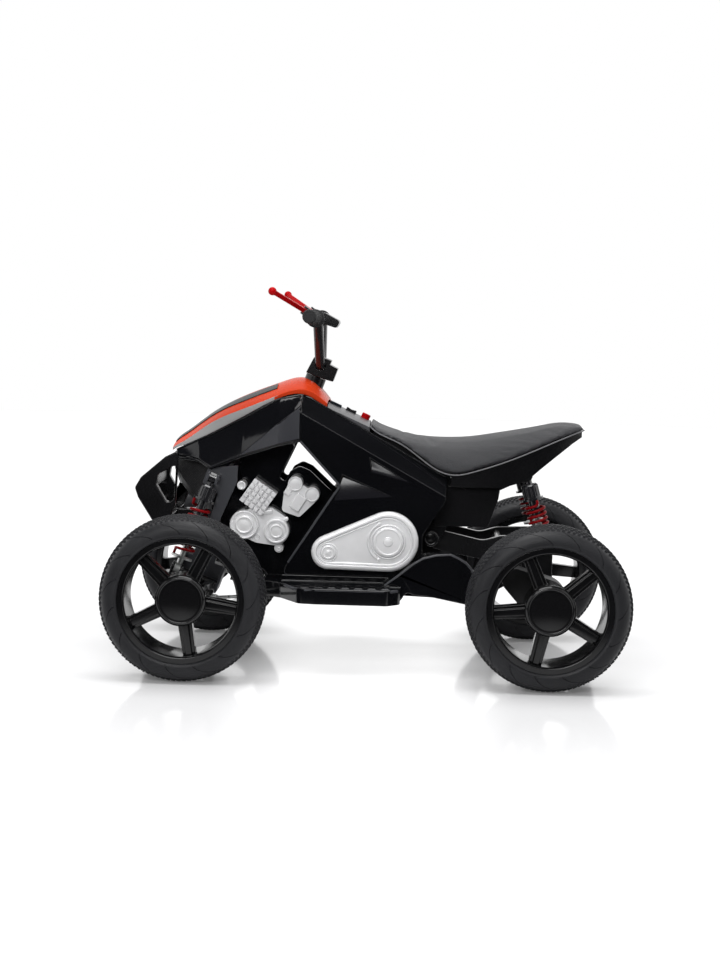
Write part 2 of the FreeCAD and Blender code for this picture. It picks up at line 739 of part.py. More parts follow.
def shock_rod(name, length):
    """The rod with its lower spring seat and foot eye, for a shock of one length between eyes."""
    seat = -(length - size.foot_height)
    profile = [(0, -length), ("neck_radius", -length), ("neck_radius", f"{seat} - spring_seat"),
               ("spring_seat_radius", f"{seat} - spring_seat"), ("spring_seat_radius", seat),
               ("shock_rod_radius", seat), ("shock_rod_radius", "-canister_end - shock_rod_entry"),
               (0, "-canister_end - shock_rod_entry")]
    turned = revolved(name + "_turned", "XZ_Plane", profile, "V_Axis")
    place = {"x": "-eye_width / 2", "z": -length}
    eye = rod(name + "_eye", "x", "eye_radius", "eye_width", **place)
    bore = rod(name + "_bore", "x", "shock_pin_radius + running_fit", "eye_width", **place)
    return drilled(name, joined(name + "_blank", [turned, eye]), [bore])


def arc_from(start, heading, end):
    """The arc that leaves a point along a heading and ends at another point."""
    chord = end - start
    side = (chord - heading * chord.dot(heading)).normalize()
    radius = chord.Length ** 2 / (2 * chord.dot(side))
    centre = start + side * radius
    middle = centre + ((start - centre) + (end - centre)).normalize() * radius
    return Part.Arc(start, middle, end).toShape()


def biarc(start, heading, end, arrival):
    """Two arcs that join two points along given headings."""
    gap = end - start
    both = heading + arrival
    bend = 2 * (1 - heading.dot(arrival))
    reach = (-gap.dot(both) + math.sqrt(gap.dot(both) ** 2 + bend * gap.dot(gap))) / bend
    middle = (start + heading * reach + end - arrival * reach) / 2
    first = arc_from(start, heading, middle)
    last = arc_from(end, -arrival, middle)
    return [first, last]


def spring(length):
    """A coil spring between its seats as one unbroken wire; its ends stand square on the seats."""
    radius = size.spring_radius
    wire = size.wire_radius
    lead = 2 * wire
    turn_in = 2.2 * wire
    top = -size.canister_end - size.seat_gap
    foot = -(length - size.foot_height) + size.seat_gap
    rise = (top - lead - turn_in) - (foot + lead + turn_in)
    quarters = 4 * max(1, round(rise / size.spring_pitch))
    climb = rise / quarters

    def at(quarter):
        angle = math.pi / 2 * quarter
        height = foot + lead + turn_in + climb * quarter
        return Vector(radius * math.cos(angle), radius * math.sin(angle), height)

    def heading(quarter):
        angle = math.pi / 2 * quarter
        speed = radius * math.pi / 2
        return Vector(-speed * math.sin(angle), speed * math.cos(angle), climb).normalize()

    up = Vector(0, 0, 1)
    low = Vector(at(0).x, at(0).y - turn_in, foot + lead)
    high_angle = math.pi / 2 * quarters
    ahead = Vector(-math.sin(high_angle), math.cos(high_angle), 0)
    high = Vector(at(quarters).x, at(quarters).y, top - lead) + ahead * turn_in
    edges = [Part.LineSegment(low - up * lead, low).toShape()]
    edges += biarc(low, up, at(0), heading(0))
    for quarter in range(quarters):
        edges += biarc(at(quarter), heading(quarter), at(quarter + 1), heading(quarter + 1))
    edges += biarc(at(quarters), heading(quarters), high, up)
    edges.append(Part.LineSegment(high, high + up * lead).toShape())
    path = Part.Wire(Part.__sortEdges__(edges))
    shell = Part.BRepOffsetAPI.MakePipeShell(path)
    shell.add(Part.Wire(Part.makeCircle(wire, low - up * lead, up)))
    shell.build()
    shell.makeSolid()
    return shell.shape()


def front_shock_placement(hand):
    """Hang a shock from its tower pin towards its pin on the arm."""
    frame = Placement(front_hub(), Rotation(Vector(0, 1, 0), -size.rake))
    run, fall = size.front_foot_y - size.front_top_y, size.front_top_z - size.front_foot_z
    lean = math.degrees(math.atan2(run, fall))
    top = Vector(size.front_shock_x, hand * size.front_top_y, size.front_top_z)
    return frame.multiply(Placement(top, Rotation(Vector(1, 0, 0), hand * lean)))


def rear_foot():
    """The rear shocks' foot pin on the swing arm, at the middle of the bike."""
    return Vector(rear_hub().x - size.rear_foot_back, 0, size.rear_top_z - size.rear_shock_drop)


def rear_shock_placement(hand):
    """Hang a shock from its pin on the rear housing towards its pin on the swing arm."""
    top = Vector(size.rear_top_x, hand * size.rear_shock_y, size.rear_top_z)
    reach = rear_foot() - Vector(size.rear_top_x, 0, size.rear_top_z)
    lean = math.degrees(math.atan2(-reach.x, -reach.z))
    return Placement(top, Rotation(Vector(0, 1, 0), lean).multiply(Rotation(Vector(0, 0, 1), 90)))


def shocks():
    """The two front shocks, and the rear pair that works together."""
    for side, hand in (("left", 1), ("right", -1)):
        spot = front_shock_placement(hand)
        node("front_shock_body_" + side, feature("front_body", body_master.Shape, spot))
        node("front_shock_rod_" + side, feature("front_rod", front_rod_master.Shape, spot))
        node("front_spring_" + side, feature("front_spring", spring(front_length), spot))
    rear = [("bodies", body_master.Shape), ("rods", rear_rod_master.Shape)]
    for word, shape in rear:
        node("rear_shock_" + word, feature("rear_" + word, rear_pair(shape)))
    node("rear_springs", feature("rear_coils", rear_pair(spring(rear_length))))


def rear_pair(shape):
    """Both rear copies of a shock piece as one group."""
    return Part.makeCompound([shape.transformed(rear_shock_placement(hand).toMatrix()) for hand in (1, -1)])


# Swing arm, rear axle and drive
# The span from axle to pivot that the arm's bends are drawn for
SWING_SPAN = 225


def gearbox_inner():
    """The inner face of the gearboxes, where the swing arm's axle tube ends."""
    return size.track / 2 - size.gearbox_inset


def cheek_inner():
    """The inner face of the housing's cheeks, beside the swing arm."""
    return size.swing_arm_y + size.swing_plate + size.cheek_play


def swing_arm():
    """Two bent plates joined by tubes at the pivot, the axle and in between, with the shocks' foot pins."""
    pivot_x, pivot_z = size.swing_pivot_x, size.swing_pivot_z
    axle = rear_hub()
    foot = rear_foot()
    scale = (pivot_x - axle.x) / SWING_SPAN
    waist = (pivot_x + axle.x) / 2 + 6 * scale
    tube_x = axle.x + 84 * scale
    slow, quick = 40 * scale, 30 * scale
    outline = [
        (pivot_x + 12, pivot_z - 12, 10), (pivot_x + 12, pivot_z + 14, 12),
        (pivot_x - 28 * scale, pivot_z + 13, quick), (waist, pivot_z - 4, slow),
        (tube_x, foot.z + 10, slow), (axle.x + 10 * scale, foot.z + 12, 12 * scale),
        (foot.x - 16, foot.z + 8, 10), (axle.x - 22, foot.z - 30, 20), (axle.x - 20, axle.z - 20, 16),
        (axle.x + 20, axle.z - 20, 16), (axle.x + 34 * scale, foot.z - 36, quick),
        (tube_x, foot.z - 24, slow), (waist, pivot_z - 42, slow), (pivot_x - 20 * scale, pivot_z - 26, quick),
    ]
    near, far = size.swing_arm_y, size.swing_arm_y + size.swing_plate
    plate = slab(outline, near, far)
    pivot = Vector(pivot_x, -far, pivot_z)
    tubes = [
        Part.makeCylinder(size.swing_tube_radius, 2 * far, pivot, ACROSS),
        Part.makeCylinder(size.axle_tube_radius, 2 * gearbox_inner(),
                          axle - ACROSS * gearbox_inner(), ACROSS),
        Part.makeCylinder(size.swing_pin_radius, 2 * far, Vector(tube_x, -far, foot.z - 5), ACROSS),
    ]
    for hand in (1, -1):
        start = Vector(foot.x, hand * near, foot.z)
        reach = size.rear_shock_y + size.eye_width / 2 + size.eye_play - near
        tubes.append(Part.makeCylinder(size.shock_pin_radius, reach, start, ACROSS * hand))
    bores = [
        Part.makeCylinder(size.swing_pin_radius + size.running_fit, 2 * far, pivot, ACROSS),
        Part.makeCylinder(size.axle_radius + size.running_fit, 2 * size.track,
                          Vector(axle.x, -size.track, axle.z), ACROSS),
    ]
    arms = both_sides(plate)
    return arms.Solids[0].multiFuse([arms.Solids[1]] + tubes).cut(Part.makeCompound(bores)).removeSplitter()


def rear_axle():
    """The shaft with a nut at each end."""
    place = {"x": "axle_ahead - wheelbase", "z": "tyre_radius"}
    shaft = rod("axle_shaft", "y", "axle_radius", f"2 * {NUT_Y}", y=f"-{NUT_Y}", **place)
    nuts = [rod("axle_nut_left", "y", "nut_radius - 1", "nut_height", y=NUT_Y, **place),
            rod("axle_nut_right", "y", "nut_radius - 1", "nut_height", y=f"-{NUT_Y} - nut_height", **place)]
    return joined("rear_axle", [shaft] + nuts)


def motor_centre():
    """The drive motors' axis at the middle of the bike."""
    return rear_hub() + Vector(size.motor_forward, 0, size.motor_rise)


def gearboxes():
    """A teardrop case on each side with a boss that reaches the wheel."""
    axle = rear_hub()
    low = gearbox_inner() + size.seat_gap
    case = teardrop(axle, size.gearbox_radius, motor_centre(), size.motor_radius + 6, low,
                    gearbox_inner() + size.gearbox_width)
    boss = Part.makeCylinder(size.washer_radius + 8, size.track / 2 - size.hub_back - size.hub_play - low,
                             axle + ACROSS * low, ACROSS)
    bore = Part.makeCylinder(size.axle_radius + size.running_fit, size.track, axle, ACROSS)
    return both_sides(case.fuse(boss).cut(bore).removeSplitter())


def drive_motors():
    """A can with a small bearing nose on the inner side of each gearbox."""
    centre = motor_centre()
    start = gearbox_inner() - size.motor_length
    can = Part.makeCylinder(size.motor_radius, size.motor_length, centre + ACROSS * start, ACROSS)
    nose = Part.makeCylinder(size.motor_radius / 3, 5, centre + ACROSS * (start - 5), ACROSS)
    return both_sides(can.fuse(nose))


# Steering: column, clamp, collar, bar, pod, grips, perches and levers
def head_placement():
    """The frame on the column's axis at the bar's centre."""
    return Placement(Vector(size.column_x, 0, size.column_z), Rotation(Vector(0, 1, 0), -size.rake))


def column():
    """The steering shaft with its pitman arm and the pin for the tie rods."""
    top = f"({COLUMN_Z} - bar_radius - seat_gap - 6)"
    tip = f"({COLUMN_X} - steer_arm)"
    pitman = [(f"{COLUMN_X} + 14", -13), (f"{COLUMN_X} + 14", 13), (f"{tip} - 4", 9), (f"{tip} - 4", -9)]
    level = "(tie_step / 2 + tie_eye_height / 2 + 7)"
    drop = "(tie_step + tie_eye_height + 16)"
    parts = [
        rod("column_shaft", "z", "column_radius", f"{top} - {level}", COLUMN_X, 0, level),
        padded("pitman_arm", "XY_Plane", pitman, level, "steer_arm_plate"),
        rod("pitman_end", "z", "tie_eye_radius", "steer_arm_plate", tip, 0, level),
        rod("pitman_pin", "z", "tie_pin_radius", drop, tip, 0, f"{level} - {drop}"),
        rod("pitman_head", "z", "tie_pin_radius + tie_play + 2", 4, tip, 0, f"{level} - {drop} - 4"),
    ]
    return in_front_frame(joined("steering_column", parts))


def at_head(obj):
    """Set a piece in the frame on the column's axis at the bar's centre."""
    obj.Placement = Placement(Vector(), Rotation(Vector(0, 1, 0), -size.rake))
    place = {"Placement.Base.x": "column_x", "Placement.Base.z": "column_z"}
    return bind(obj, {**place, "Placement.Rotation.Angle": "-rake"})


def clamp():
    """The block that holds the bar on the column."""
    side = [("clamp_depth / 2", "clamp_top - 7"), ("clamp_depth / 2 - 7", "clamp_top"),
            ("-clamp_depth / 2", "clamp_top"), ("-clamp_depth / 2", "8"), ("-clamp_depth", "6"),
            ("-clamp_depth", "-clamp_bottom + 2"), ("-clamp_depth / 2", "-clamp_bottom"),
            ("clamp_depth / 2 + 4", "-clamp_bottom")]
    body = padded("clamp_block", "XZ_Plane", side, "-clamp_width / 2", "clamp_width")
    bar = rod("clamp_bar_hole", "y", "bar_radius + seat_gap", "clamp_width", y="-clamp_width / 2")
    shaft = rod("clamp_shaft_hole", "z", "column_radius + running_fit", "clamp_bottom", z="-clamp_bottom")
    return at_head(drilled("clamp", body, [bar, shaft]))


def collar():
    """The ring in the nose cover that the column turns in."""
    top = "(-clamp_bottom - collar_gap)"
    ring = rod("collar_ring", "z", "collar_radius", "collar_height", z=f"{top} - collar_height")
    bore = rod("collar_bore", "z", "column_radius + running_fit", "collar_height", z=f"{top} - collar_height")
    return at_head(drilled("collar", ring, [bore]))


def bar_points():
    """The handlebar's corners from its left end to its right."""
    left = [Vector(size.bar_end_x, size.bar_half_end, size.bar_end_z),
            Vector(size.bar_shoulder_x, size.bar_half_shoulder, size.bar_shoulder_z),
            Vector(size.column_x, size.bar_half_foot, size.column_z)]
    return left + [Vector(point.x, -point.y, point.z) for point in reversed(left)]


def crossbar_end():
    """The point on the bar's left riser where the crossbar meets it."""
    shoulder, foot = bar_points()[1:3]
    share = (size.crossbar_z - foot.z) / (shoulder.z - foot.z)
    return foot + (shoulder - foot) * share


def handlebar():
    """The bent tube with a crossbar between its risers."""
    points = bar_points()
    outer = pipe(points, size.bar_radius, size.bar_bend)
    inner = pipe(points, size.bar_radius - size.bar_wall, size.bar_bend)
    end = crossbar_end()
    brace = Part.makeCylinder(size.crossbar_radius, 2 * end.y, end - ACROSS * (2 * end.y), ACROSS)
    return outer.fuse(brace).cut(inner).removeSplitter()


def bar_pod():
    """A rider-facing pod that hooks over the crossbar."""
    x, z = crossbar_end().x, size.crossbar_z
    half = size.pod_half_width
    side = [(x + 9, z - 4, 3), (x + 9, z + 10, 5), (x - 10, z + 19, 5),
            (x - 42, z + 2, 6), (x - 34, z - 12, 5), (x - 8, z - 4, 2)]
    body = slab(side, -half, half)
    room = size.crossbar_radius + size.seat_gap
    hook = Part.makeCylinder(room, 2 * half, Vector(x, -half, z), ACROSS)
    mouth = Part.makeBox(2 * room, 2 * half, 20, Vector(x - room, -half, z - 20))
    return body.cut(hook).cut(mouth)


def bar_end_placement():
    """The frame at the bar's left shoulder, with Y along the bar towards its end."""
    end, shoulder = bar_points()[:2]
    return Placement(shoulder, Rotation(Vector(0, 1, 0), end - shoulder))


def bar_run():
    """The bar's straight length from its shoulder to its end."""
    end, shoulder = bar_points()[:2]
    return (end - shoulder).Length


def grip():
    """A ribbed rubber grip with a flange and a closed end, over the end of the bar."""
    start, end = size.grip_start, bar_run() + size.seat_gap
    bore, outer = size.bar_radius + size.seat_gap / 2, size.grip_radius
    points = [Vector(bore, end, 0), Vector(bore, start, 0), Vector(size.grip_flange, start, 0),
              Vector(size.grip_flange, start + 4, 0), Vector(outer, start + 6, 0)]
    pitch = (end - start - 22) / size.grip_ribs
    for rib in range(int(size.grip_ribs)):
        y = start + 12 + rib * pitch
        points += [Vector(outer, y, 0), Vector(outer - 1.5, y + 1, 0), Vector(outer - 1.5, y + 3, 0),
                   Vector(outer, y + 4, 0)]
    points += [Vector(outer, end, 0), Vector(outer - 2, end + size.grip_cap, 0),
               Vector(0, end + size.grip_cap, 0), Vector(0, end, 0)]
    solid = Part.Face(polygon(points)).revolve(Vector(), Vector(0, 1, 0), 360)
    return both_sides(solid.transformed(bar_end_placement().toMatrix()))


def lever_placement():
    """The lever's own plane, pitched up and forward about the bar."""
    return bar_end_placement().multiply(Placement(Vector(), Rotation(Vector(0, 1, 0), -size.lever_pitch)))


def lever():
    """A brake lever: pivot boss, tapered blade and ball end."""
    half = size.lever_thickness / 2
    pivot = Vector(size.lever_pivot_x, size.lever_pivot_y, 0)
    tip = Vector(size.lever_tip_x, size.lever_tip_y, 0)
    along = (tip - pivot).normalize()
    across = Vector(-along.y, along.x, 0)
    corners = [pivot + across * 8, tip + across * 5, tip - across * 5, pivot - across * 8]
    blade = Part.Face(polygon(corners)).extrude(Vector(0, 0, 2 * half))
    blade.translate(Vector(0, 0, -half))
    ball = Part.makeSphere(size.lever_ball_radius, tip)
    boss = Part.makeCylinder(size.lever_boss_radius, 2 * half, pivot - Vector(0, 0, half))
    bore = Part.makeCylinder(size.lever_pin_radius + size.running_fit, 2 * half, pivot - Vector(0, 0, half))
    solid = blade.multiFuse([ball, boss]).cut(bore).removeSplitter()
    return solid.transformed(lever_placement().toMatrix())


def perches():
    """Clamps on the bar with a fork and a pin for each lever."""
    start, width, plate = size.perch_start, size.perch_width, size.perch_plate
    ring = Part.makeCylinder(size.bar_radius + 5, width, ACROSS * start, ACROSS)
    half = size.lever_thickness / 2 + size.side_play
    pivot = Vector(size.lever_pivot_x, size.lever_pivot_y, 0)
    fork = []
    for low in (half, -half - plate):
        fork.append(Part.makeBox(pivot.x, width, plate, Vector(0, start, low)))
        fork.append(Part.makeCylinder(size.lever_boss_radius, plate, pivot + Vector(0, 0, low)))
    reach = half + plate
    pin = Part.makeCylinder(size.lever_pin_radius, 2 * reach, pivot - Vector(0, 0, reach))
    room = Part.makeCylinder(size.lever_boss_radius + 2, 2 * half, pivot - Vector(0, 0, half))
    bore = Part.makeCylinder(size.bar_radius + size.seat_gap / 2, width, ACROSS * start, ACROSS)
    solid = ring.multiFuse(fork).cut(room).cut(bore).fuse(pin).removeSplitter()
    return both_sides(solid.transformed(lever_placement().toMatrix()))


# Body shells
# Top edge of the side panels, front to rear, as (x, half width, height)
PANEL_TOP = [(141, 106, 546), (122, 106, 540), (-155, 106, 388)]
# Front wing of a side panel: x, then (y, z) at its top edge, ridge and lower edge
WING = [
    (138, (106, 546), (145, 528), (143, 458)),
    (186, (106, 537), (142, 488), (131, 446)),
    (257, (102, 497), (131, 426), (129, 423)),
    (318, (92, 463), (122, 399), (119, 396)),
    (345, (86, 451), (106, 414), (102, 410)),
    (392, (70, 428), (78, 421), (73, 413)),
]


def panel_outline():
    """The side outline of a panel's rear part, with a radius at each corner."""
    floor = size.panel_floor
    return [
        (141, 547, 0), (122, 540, 30), (-155, 388, 6), (-151, 343, 20), (-118, 291, 10),
        (-108, 276, 10), (-108, 232, 35), (-72, floor, 24), (168, floor, 6), (163, 207, 8),
        (71, 351, 12), (58, 371, 8), (141, 458, 0),
    ]


def panel_block(inset):
    """The rear part of a side panel as a block with its sloping top band and two scallops."""
    face = side_face(panel_outline())
    if inset:
        face = face.makeOffset2D(-inset).Faces[0]
    low = size.panel_inner - (2 * size.panel_wall if inset else 0)
    outer = size.panel_outer - inset
    face.translate(Vector(0, low, 0))
    solid = face.extrude(Vector(0, outer - low, 0))
    drop = size.panel_band
    ridge = [Vector(x, outer, z - drop) for x, _, z in PANEL_TOP[1:]]
    crest = Vector(PANEL_TOP[1][0], PANEL_TOP[1][1] - inset, PANEL_TOP[1][2])
    solid = cut_beyond(solid, ridge[0], ridge[1], crest, Vector(0, 1, 1))
    deep = outer - 13
    proud = outer + 3
    scallops = [
        [Vector(54, deep, 388), Vector(72, proud, 330),
         Vector(-66, proud, 344), Vector(54, proud + 30, 400)],
        [Vector(0, deep + 4, 424), Vector(-6, proud, 392),
         Vector(-104, proud, 366), Vector(0, proud + 30, 434)],
    ]
    for corners in scallops:
        solid = solid.cut(wedge(corners))
    return solid


def side_panel():
    """A hollow side panel: faceted rear tray and folded front wing in one moulding."""
    tray = panel_block(0).cut(panel_block(size.panel_wall))
    wall = size.panel_wall
    sections = []
    for x, top, ridge, low in WING:
        outer = [Vector(x, *pair) for pair in (top, ridge, low)]
        inner = [Vector(x, low[0] - wall, low[1]), Vector(x, ridge[0] - wall, ridge[1] - wall / 2),
                 Vector(x, top[0] - wall, top[1])]
        sections.append(polygon(outer + inner))
    return tray.fuse(loft(sections, True)).removeSplitter()


# Crowned covers: x, half width, crest height, edge height, foot of the skirt
COVER = [
    (402, 60, 439, 431, 427), (376, 73, 463, 447, 438), (325, 87, 502, 483, 462.5),
    (257, 97, 540, 515, 499.5), (186, 101, 568, 545, 538), (146, 101, 578, 557, 548),
    (122, 101, 571, 553, 542), (89, 99, 537, 530, 523.5),
]


def crowned(x, half, crest, edge, foot, skin):
    """A cover's section: crowned top, short skirts and an even wall."""
    inner = half - skin
    outer_arc = Part.Arc(Vector(x, -half, edge), Vector(x, 0, crest), Vector(x, half, edge)).toShape()
    inner_arc = Part.Arc(Vector(x, inner, edge - skin), Vector(x, 0, crest - skin),
                         Vector(x, -inner, edge - skin)).toShape()
    right = Part.makePolygon([Vector(x, half, edge), Vector(x, half, foot), Vector(x, inner, foot),
                              Vector(x, inner, edge - skin)])
    left = Part.makePolygon([Vector(x, -inner, edge - skin), Vector(x, -inner, foot), Vector(x, -half, foot),
                             Vector(x, -half, edge)])
    return Part.Wire([outer_arc] + right.Edges + [inner_arc] + left.Edges)


def column_tool(radius):
    """A round tool along the steering column."""
    tool = Part.makeCylinder(radius, size.column_z, Vector(0, 0, -size.column_z + 40))
    tool.Placement = head_placement().multiply(tool.Placement)
    return tool


def nose_cover():
    """The orange crowned cover over the nose, with a round opening for the column's collar."""
    sections = [crowned(x, half, crest, edge, min(foot, edge - size.skin - 2), size.skin)
                for x, half, crest, edge, foot in COVER]
    return loft(sections).cut(column_tool(size.collar_radius + 0.5))


def nose_stripe(cover):
    """One inlay strip that lies on the nose cover beside its crest, in the cover's own form."""
    plan = [(398, 20), (398, 40), (262, 66), (192, 68), (192, 36), (262, 34)]
    strip = plan_face(plan, 0).extrude(Vector(0, 0, size.column_z))
    lift = Vector(0, 0, size.seat_gap)
    strip = strip.common(cover.translated(lift + Vector(0, 0, size.stripe)))
    return strip.cut(cover.translated(lift))


# Nose shell: x, half width, floor and roof heights
NOSE = [(318, 85, 306, 440), (345, 80, 312, 434), (380, 66, 352, 424), (400, 48, 398, 416)]


def nose_block(inset):
    """The beak as a solid through chamfered sections, drawn in by an inset."""
    sections = []
    for x, half, low, high in NOSE:
        w, a, b = half - inset, low + inset, high - inset
        chop = min(18, (b - a) / 3)
        points = [(w - chop, a), (w, a + chop), (w, b - chop), (w - chop, b)]
        ring = [Vector(x, y, z) for y, z in points] + [Vector(x, -y, z) for y, z in reversed(points)]
        sections.append(polygon(ring))
    return loft(sections, True)


def nose_shell():
    """The black beak under the nose cover, open at the back and notched for the front spine."""
    shell = nose_block(0).cut(nose_block(size.skin).translated(Vector(-1, 0, 0)))
    half = size.spine_half_width + size.seat_gap
    notch = Part.makeBox(40, 2 * half, 60, Vector(NOSE[0][0] - 5, -half, NOSE[0][2] - 20))
    return shell.cut(notch)


def headlights():
    """Two lenses that lie on the sloping underside of the beak."""
    low = Vector(NOSE[2][0], 0, NOSE[2][2])
    high = Vector(NOSE[3][0], 0, NOSE[3][2])
    along = (high - low).normalize()
    off = Vector(along.z, 0, -along.x)
    base = [low + along * 6 + off * size.seat_gap, high - along * 7 + off * size.seat_gap]
    face = [base[1] + off * 3, base[0] + off * 5]
    lens = slab([(point.x, point.z, radius) for point, radius in zip(base + face, (0, 0, 2, 3))], 9, 39)
    return both_sides(lens)


def bumper():
    """A loop each side of the nose, joined by a cross bar at the front."""
    outer = [(384, 429, 4), (410, 416, 12), (458, 374, 16), (470, 353, 10), (463, 333, 16), (433, 286, 12),
             (404, 276, 8), (396, 300, 10), (388, 322, 6)]
    window = [(387, 401, 4), (424, 380, 6), (427, 360, 8), (404, 322, 8), (391, 332, 6)]
    half = size.bumper_half_width
    inner = half - size.bumper_bar
    loop = slab(outer, -half, half).cut(slab(window, -half, half))
    room = Part.makeBox(432 - 340, 2 * inner, 200, Vector(340, -inner, 250))
    front = rounded_wire([(Vector(420, y, z), 10) for y, z in (
        (-inner, 310), (-inner, 352), (inner, 352), (inner, 310))])
    loop = loop.cut(room).cut(Part.Face(front).extrude(Vector(80, 0, 0)))
    tie = slab([(396, 284), (394, 300), (412, 304, 4), (416, 284, 4)], -inner, inner)
    spine = size.spine_half_width
    arm = slab([(300, 286), (300, 302), (400, 302), (400, 286)], -spine, spine)
    rake = math.radians(size.rake)
    face = Vector(math.cos(rake), 0, math.sin(rake))
    on_spine = front_hub() + face * (SPINE_FRONT + size.seat_gap)
    up = Vector(-math.sin(rake), 0, math.cos(rake))
    arm = cut_beyond(arm, on_spine, on_spine + up, on_spine + Vector(0, 1, 0), -face)
    return loop.multiFuse([tie, arm]).removeSplitter()


def tub_cheeks():
    """The tub's side outline, with the see-through corner above the engine left open."""
    floor = size.tub_floor
    rear = HOUSING_FRONT + size.seat_gap
    return [
        (300, 216, 8), (302, 300, 8), (285, 345, 10), (261, 417, 10), (150, 449, 6), (184, 376, 6),
        (172, 368, 6), (162, 390, 10), (143, 401, 12), (122, 392, 12), (74, 348, 12), (rear, 336, 4),
        (rear, 291, 0), (-106, 288, 8), (-106, floor, 10), (190, floor, 10), (214, 190, 10),
    ]


def tub():
    """The central tub: side cheeks behind the engine, floor and rear wall round the battery."""
    half = size.tub_half_width
    inner = half - size.tub_wall
    block_shape = slab(tub_cheeks(), -half, half)
    front = Part.makeBox(300, 2 * inner, 400, Vector(70, -inner, 150))
    well = Part.makeBox(70 + 98, 2 * inner, 400, Vector(-98, -inner, size.tub_floor + size.tub_wall))
    loft_room = Part.makeBox(60, 2 * inner, 80, Vector(-122, -inner, 298))
    floor = Part.makeBox(116, 2 * inner, size.tub_wall, Vector(70, -inner, size.tub_floor))
    return block_shape.cut(front).cut(well).cut(loft_room).fuse(floor).removeSplitter()


def battery():
    """The battery case in the tub with its two posts."""
    body = block("battery_case", "battery_length", "2 * " + INSIDE_TUB, "battery_height",
                 "-94", "-" + INSIDE_TUB, "tub_floor + tub_wall + seat_gap")
    posts = [block("battery_post_" + end, 12, 12, 6, x, -40, BATTERY_TOP)
             for end, x in (("rear", -70), ("front", 20))]
    return joined("battery_pack", [body] + posts)


def control_box():
    """The drive's control case in front of the battery."""
    return block("control_case", 76, "2 * " + INSIDE_TUB, 42, 84, "-" + INSIDE_TUB,
                 "tub_floor + tub_wall + seat_gap")


def footboard():
    """A running board with a raised inner ledge, anti-slip ribs and a rear wing that sweeps up."""
    inner = size.tub_half_width + size.seat_gap
    half = size.board_half_width
    nose = size.axle_ahead - size.tyre_radius - size.board_nose
    plan = [(210, inner, 0), (210, 146, 8), (nose + 20, 178, 16), (nose - 18, half - 6, 20),
            (nose - 50, half, 14), (-40, half, 14), (-66, half - 24, 16), (-66, inner, 0)]
    tray = plan_face(plan, size.board_floor).extrude(Vector(0, 0, size.board_top - size.board_floor))
    hollow = plan_face([(-56, inner + 10), (nose - 30, inner + 10), (nose - 30, half - 12), (-56, half - 36)],
                       size.board_floor - 1)
    tray = tray.cut(hollow.extrude(Vector(0, 0, size.board_top - size.board_floor - size.skin + 1)))
    ledge_top = size.panel_floor - size.seat_gap
    ledge = [(170, inner), (170, size.panel_outer), (-66, size.panel_outer), (-66, inner)]
    ledge = plan_face(ledge, size.board_top - 2).extrude(Vector(0, 0, ledge_top - size.board_top + 2))
    ribs = []
    for rib in range(int(size.board_ribs)):
        spot = Vector(-44 + rib * size.board_rib_pitch, half - 54, size.board_top)
        ribs.append(Part.makeBox(14, 40, 2, spot))
    sweep = [(-30, 150, 6), (-48, 146, 10), (-68, 152, 14), (-82, 178, 10), (-90, 164, 10),
             (-120, 162, 40), (-206, 146, 12), (-212, 206, 14), (-194, 231, 20), (-163, 248, 20),
             (-109, 240, 20), (-62, 202, 26), (-30, 178, 10)]
    wing_low, wing_high = size.panel_outer, size.track / 2 - size.tyre_width / 2 - size.wing_gap
    wing = slab(sweep, wing_low, wing_high)
    face = side_face(sweep).makeOffset2D(-size.skin).Faces[0]
    face.translate(Vector(0, wing_low - 1, 0))
    wing = wing.cut(face.extrude(Vector(0, wing_high - wing_low + 1 - size.skin, 0)))
    return tray.multiFuse([ledge, wing] + ribs).removeSplitter()


def dash_panel():
    """The control panel behind the bar: a straight crowned cover with holes for its switches."""
    half = size.panel_inner - size.seat_gap
    front = crowned(88.4, half, 529, 522.5, 515, size.skin)
    rear = crowned(3, half, 491.7, 485.2, 470, size.skin)
    solid = loft([front, rear], True)
    play = size.switch_play
    tools = [Part.makeCylinder(size.button_radius + play, 60, Vector(POWER_SPOT, 0, -30))]
    room = size.rocker_length / 2 + 1.6
    width = size.rocker_width + 2 * play
    tools.append(Part.makeBox(2 * room, width, 60, Vector(ROCKER_SPOT - room, -width / 2, -30)))
    for tool in tools:
        tool.Placement = dash_placement().multiply(tool.Placement)
        solid = solid.cut(tool)
    return solid


def dash_placement():
    """The frame on the dash's crest line: X forward along the slope, Z off the panel."""
    return Placement(Vector(88.4, 0, 529), Rotation(Vector(0, 1, 0), -size.dash_slope))


DISPLAY_SPOT, ROCKER_SPOT, POWER_SPOT = -14, -48, -80


def display():
    """A small bevelled meter on the dash."""
    body = Part.makeBox(26, 44, 5, Vector(DISPLAY_SPOT - 13, -22, size.seat_gap))
    rim = [edge for edge in body.Edges if min(point.Z for point in edge.Vertexes) > size.seat_gap + 4]
    return body.makeChamfer(1.5, rim)


def power_button():
    """A round push button with a rounded top edge."""
    body = Part.makeCylinder(size.button_radius, 18, Vector(POWER_SPOT, 0, -8))
    return body.makeFillet(1.5, [body.Edges[0]])


def rocker():
    """A dished rocker paddle on round trunnions."""
    half, width = size.rocker_length / 2, size.rocker_width / 2
    side = [(half, -5, 0), (half, 7, 2), (0, 4.5, 20), (-half, 7, 2), (-half, -5, 0)]
    paddle = slab([(x + ROCKER_SPOT, z, radius) for x, z, radius in side], -width, width)
    reach = width + size.switch_play - 0.1
    trunnion = Part.makeCylinder(2, 2 * reach, Vector(ROCKER_SPOT, -reach, 0), Vector(0, 1, 0))
    return paddle.fuse(trunnion)


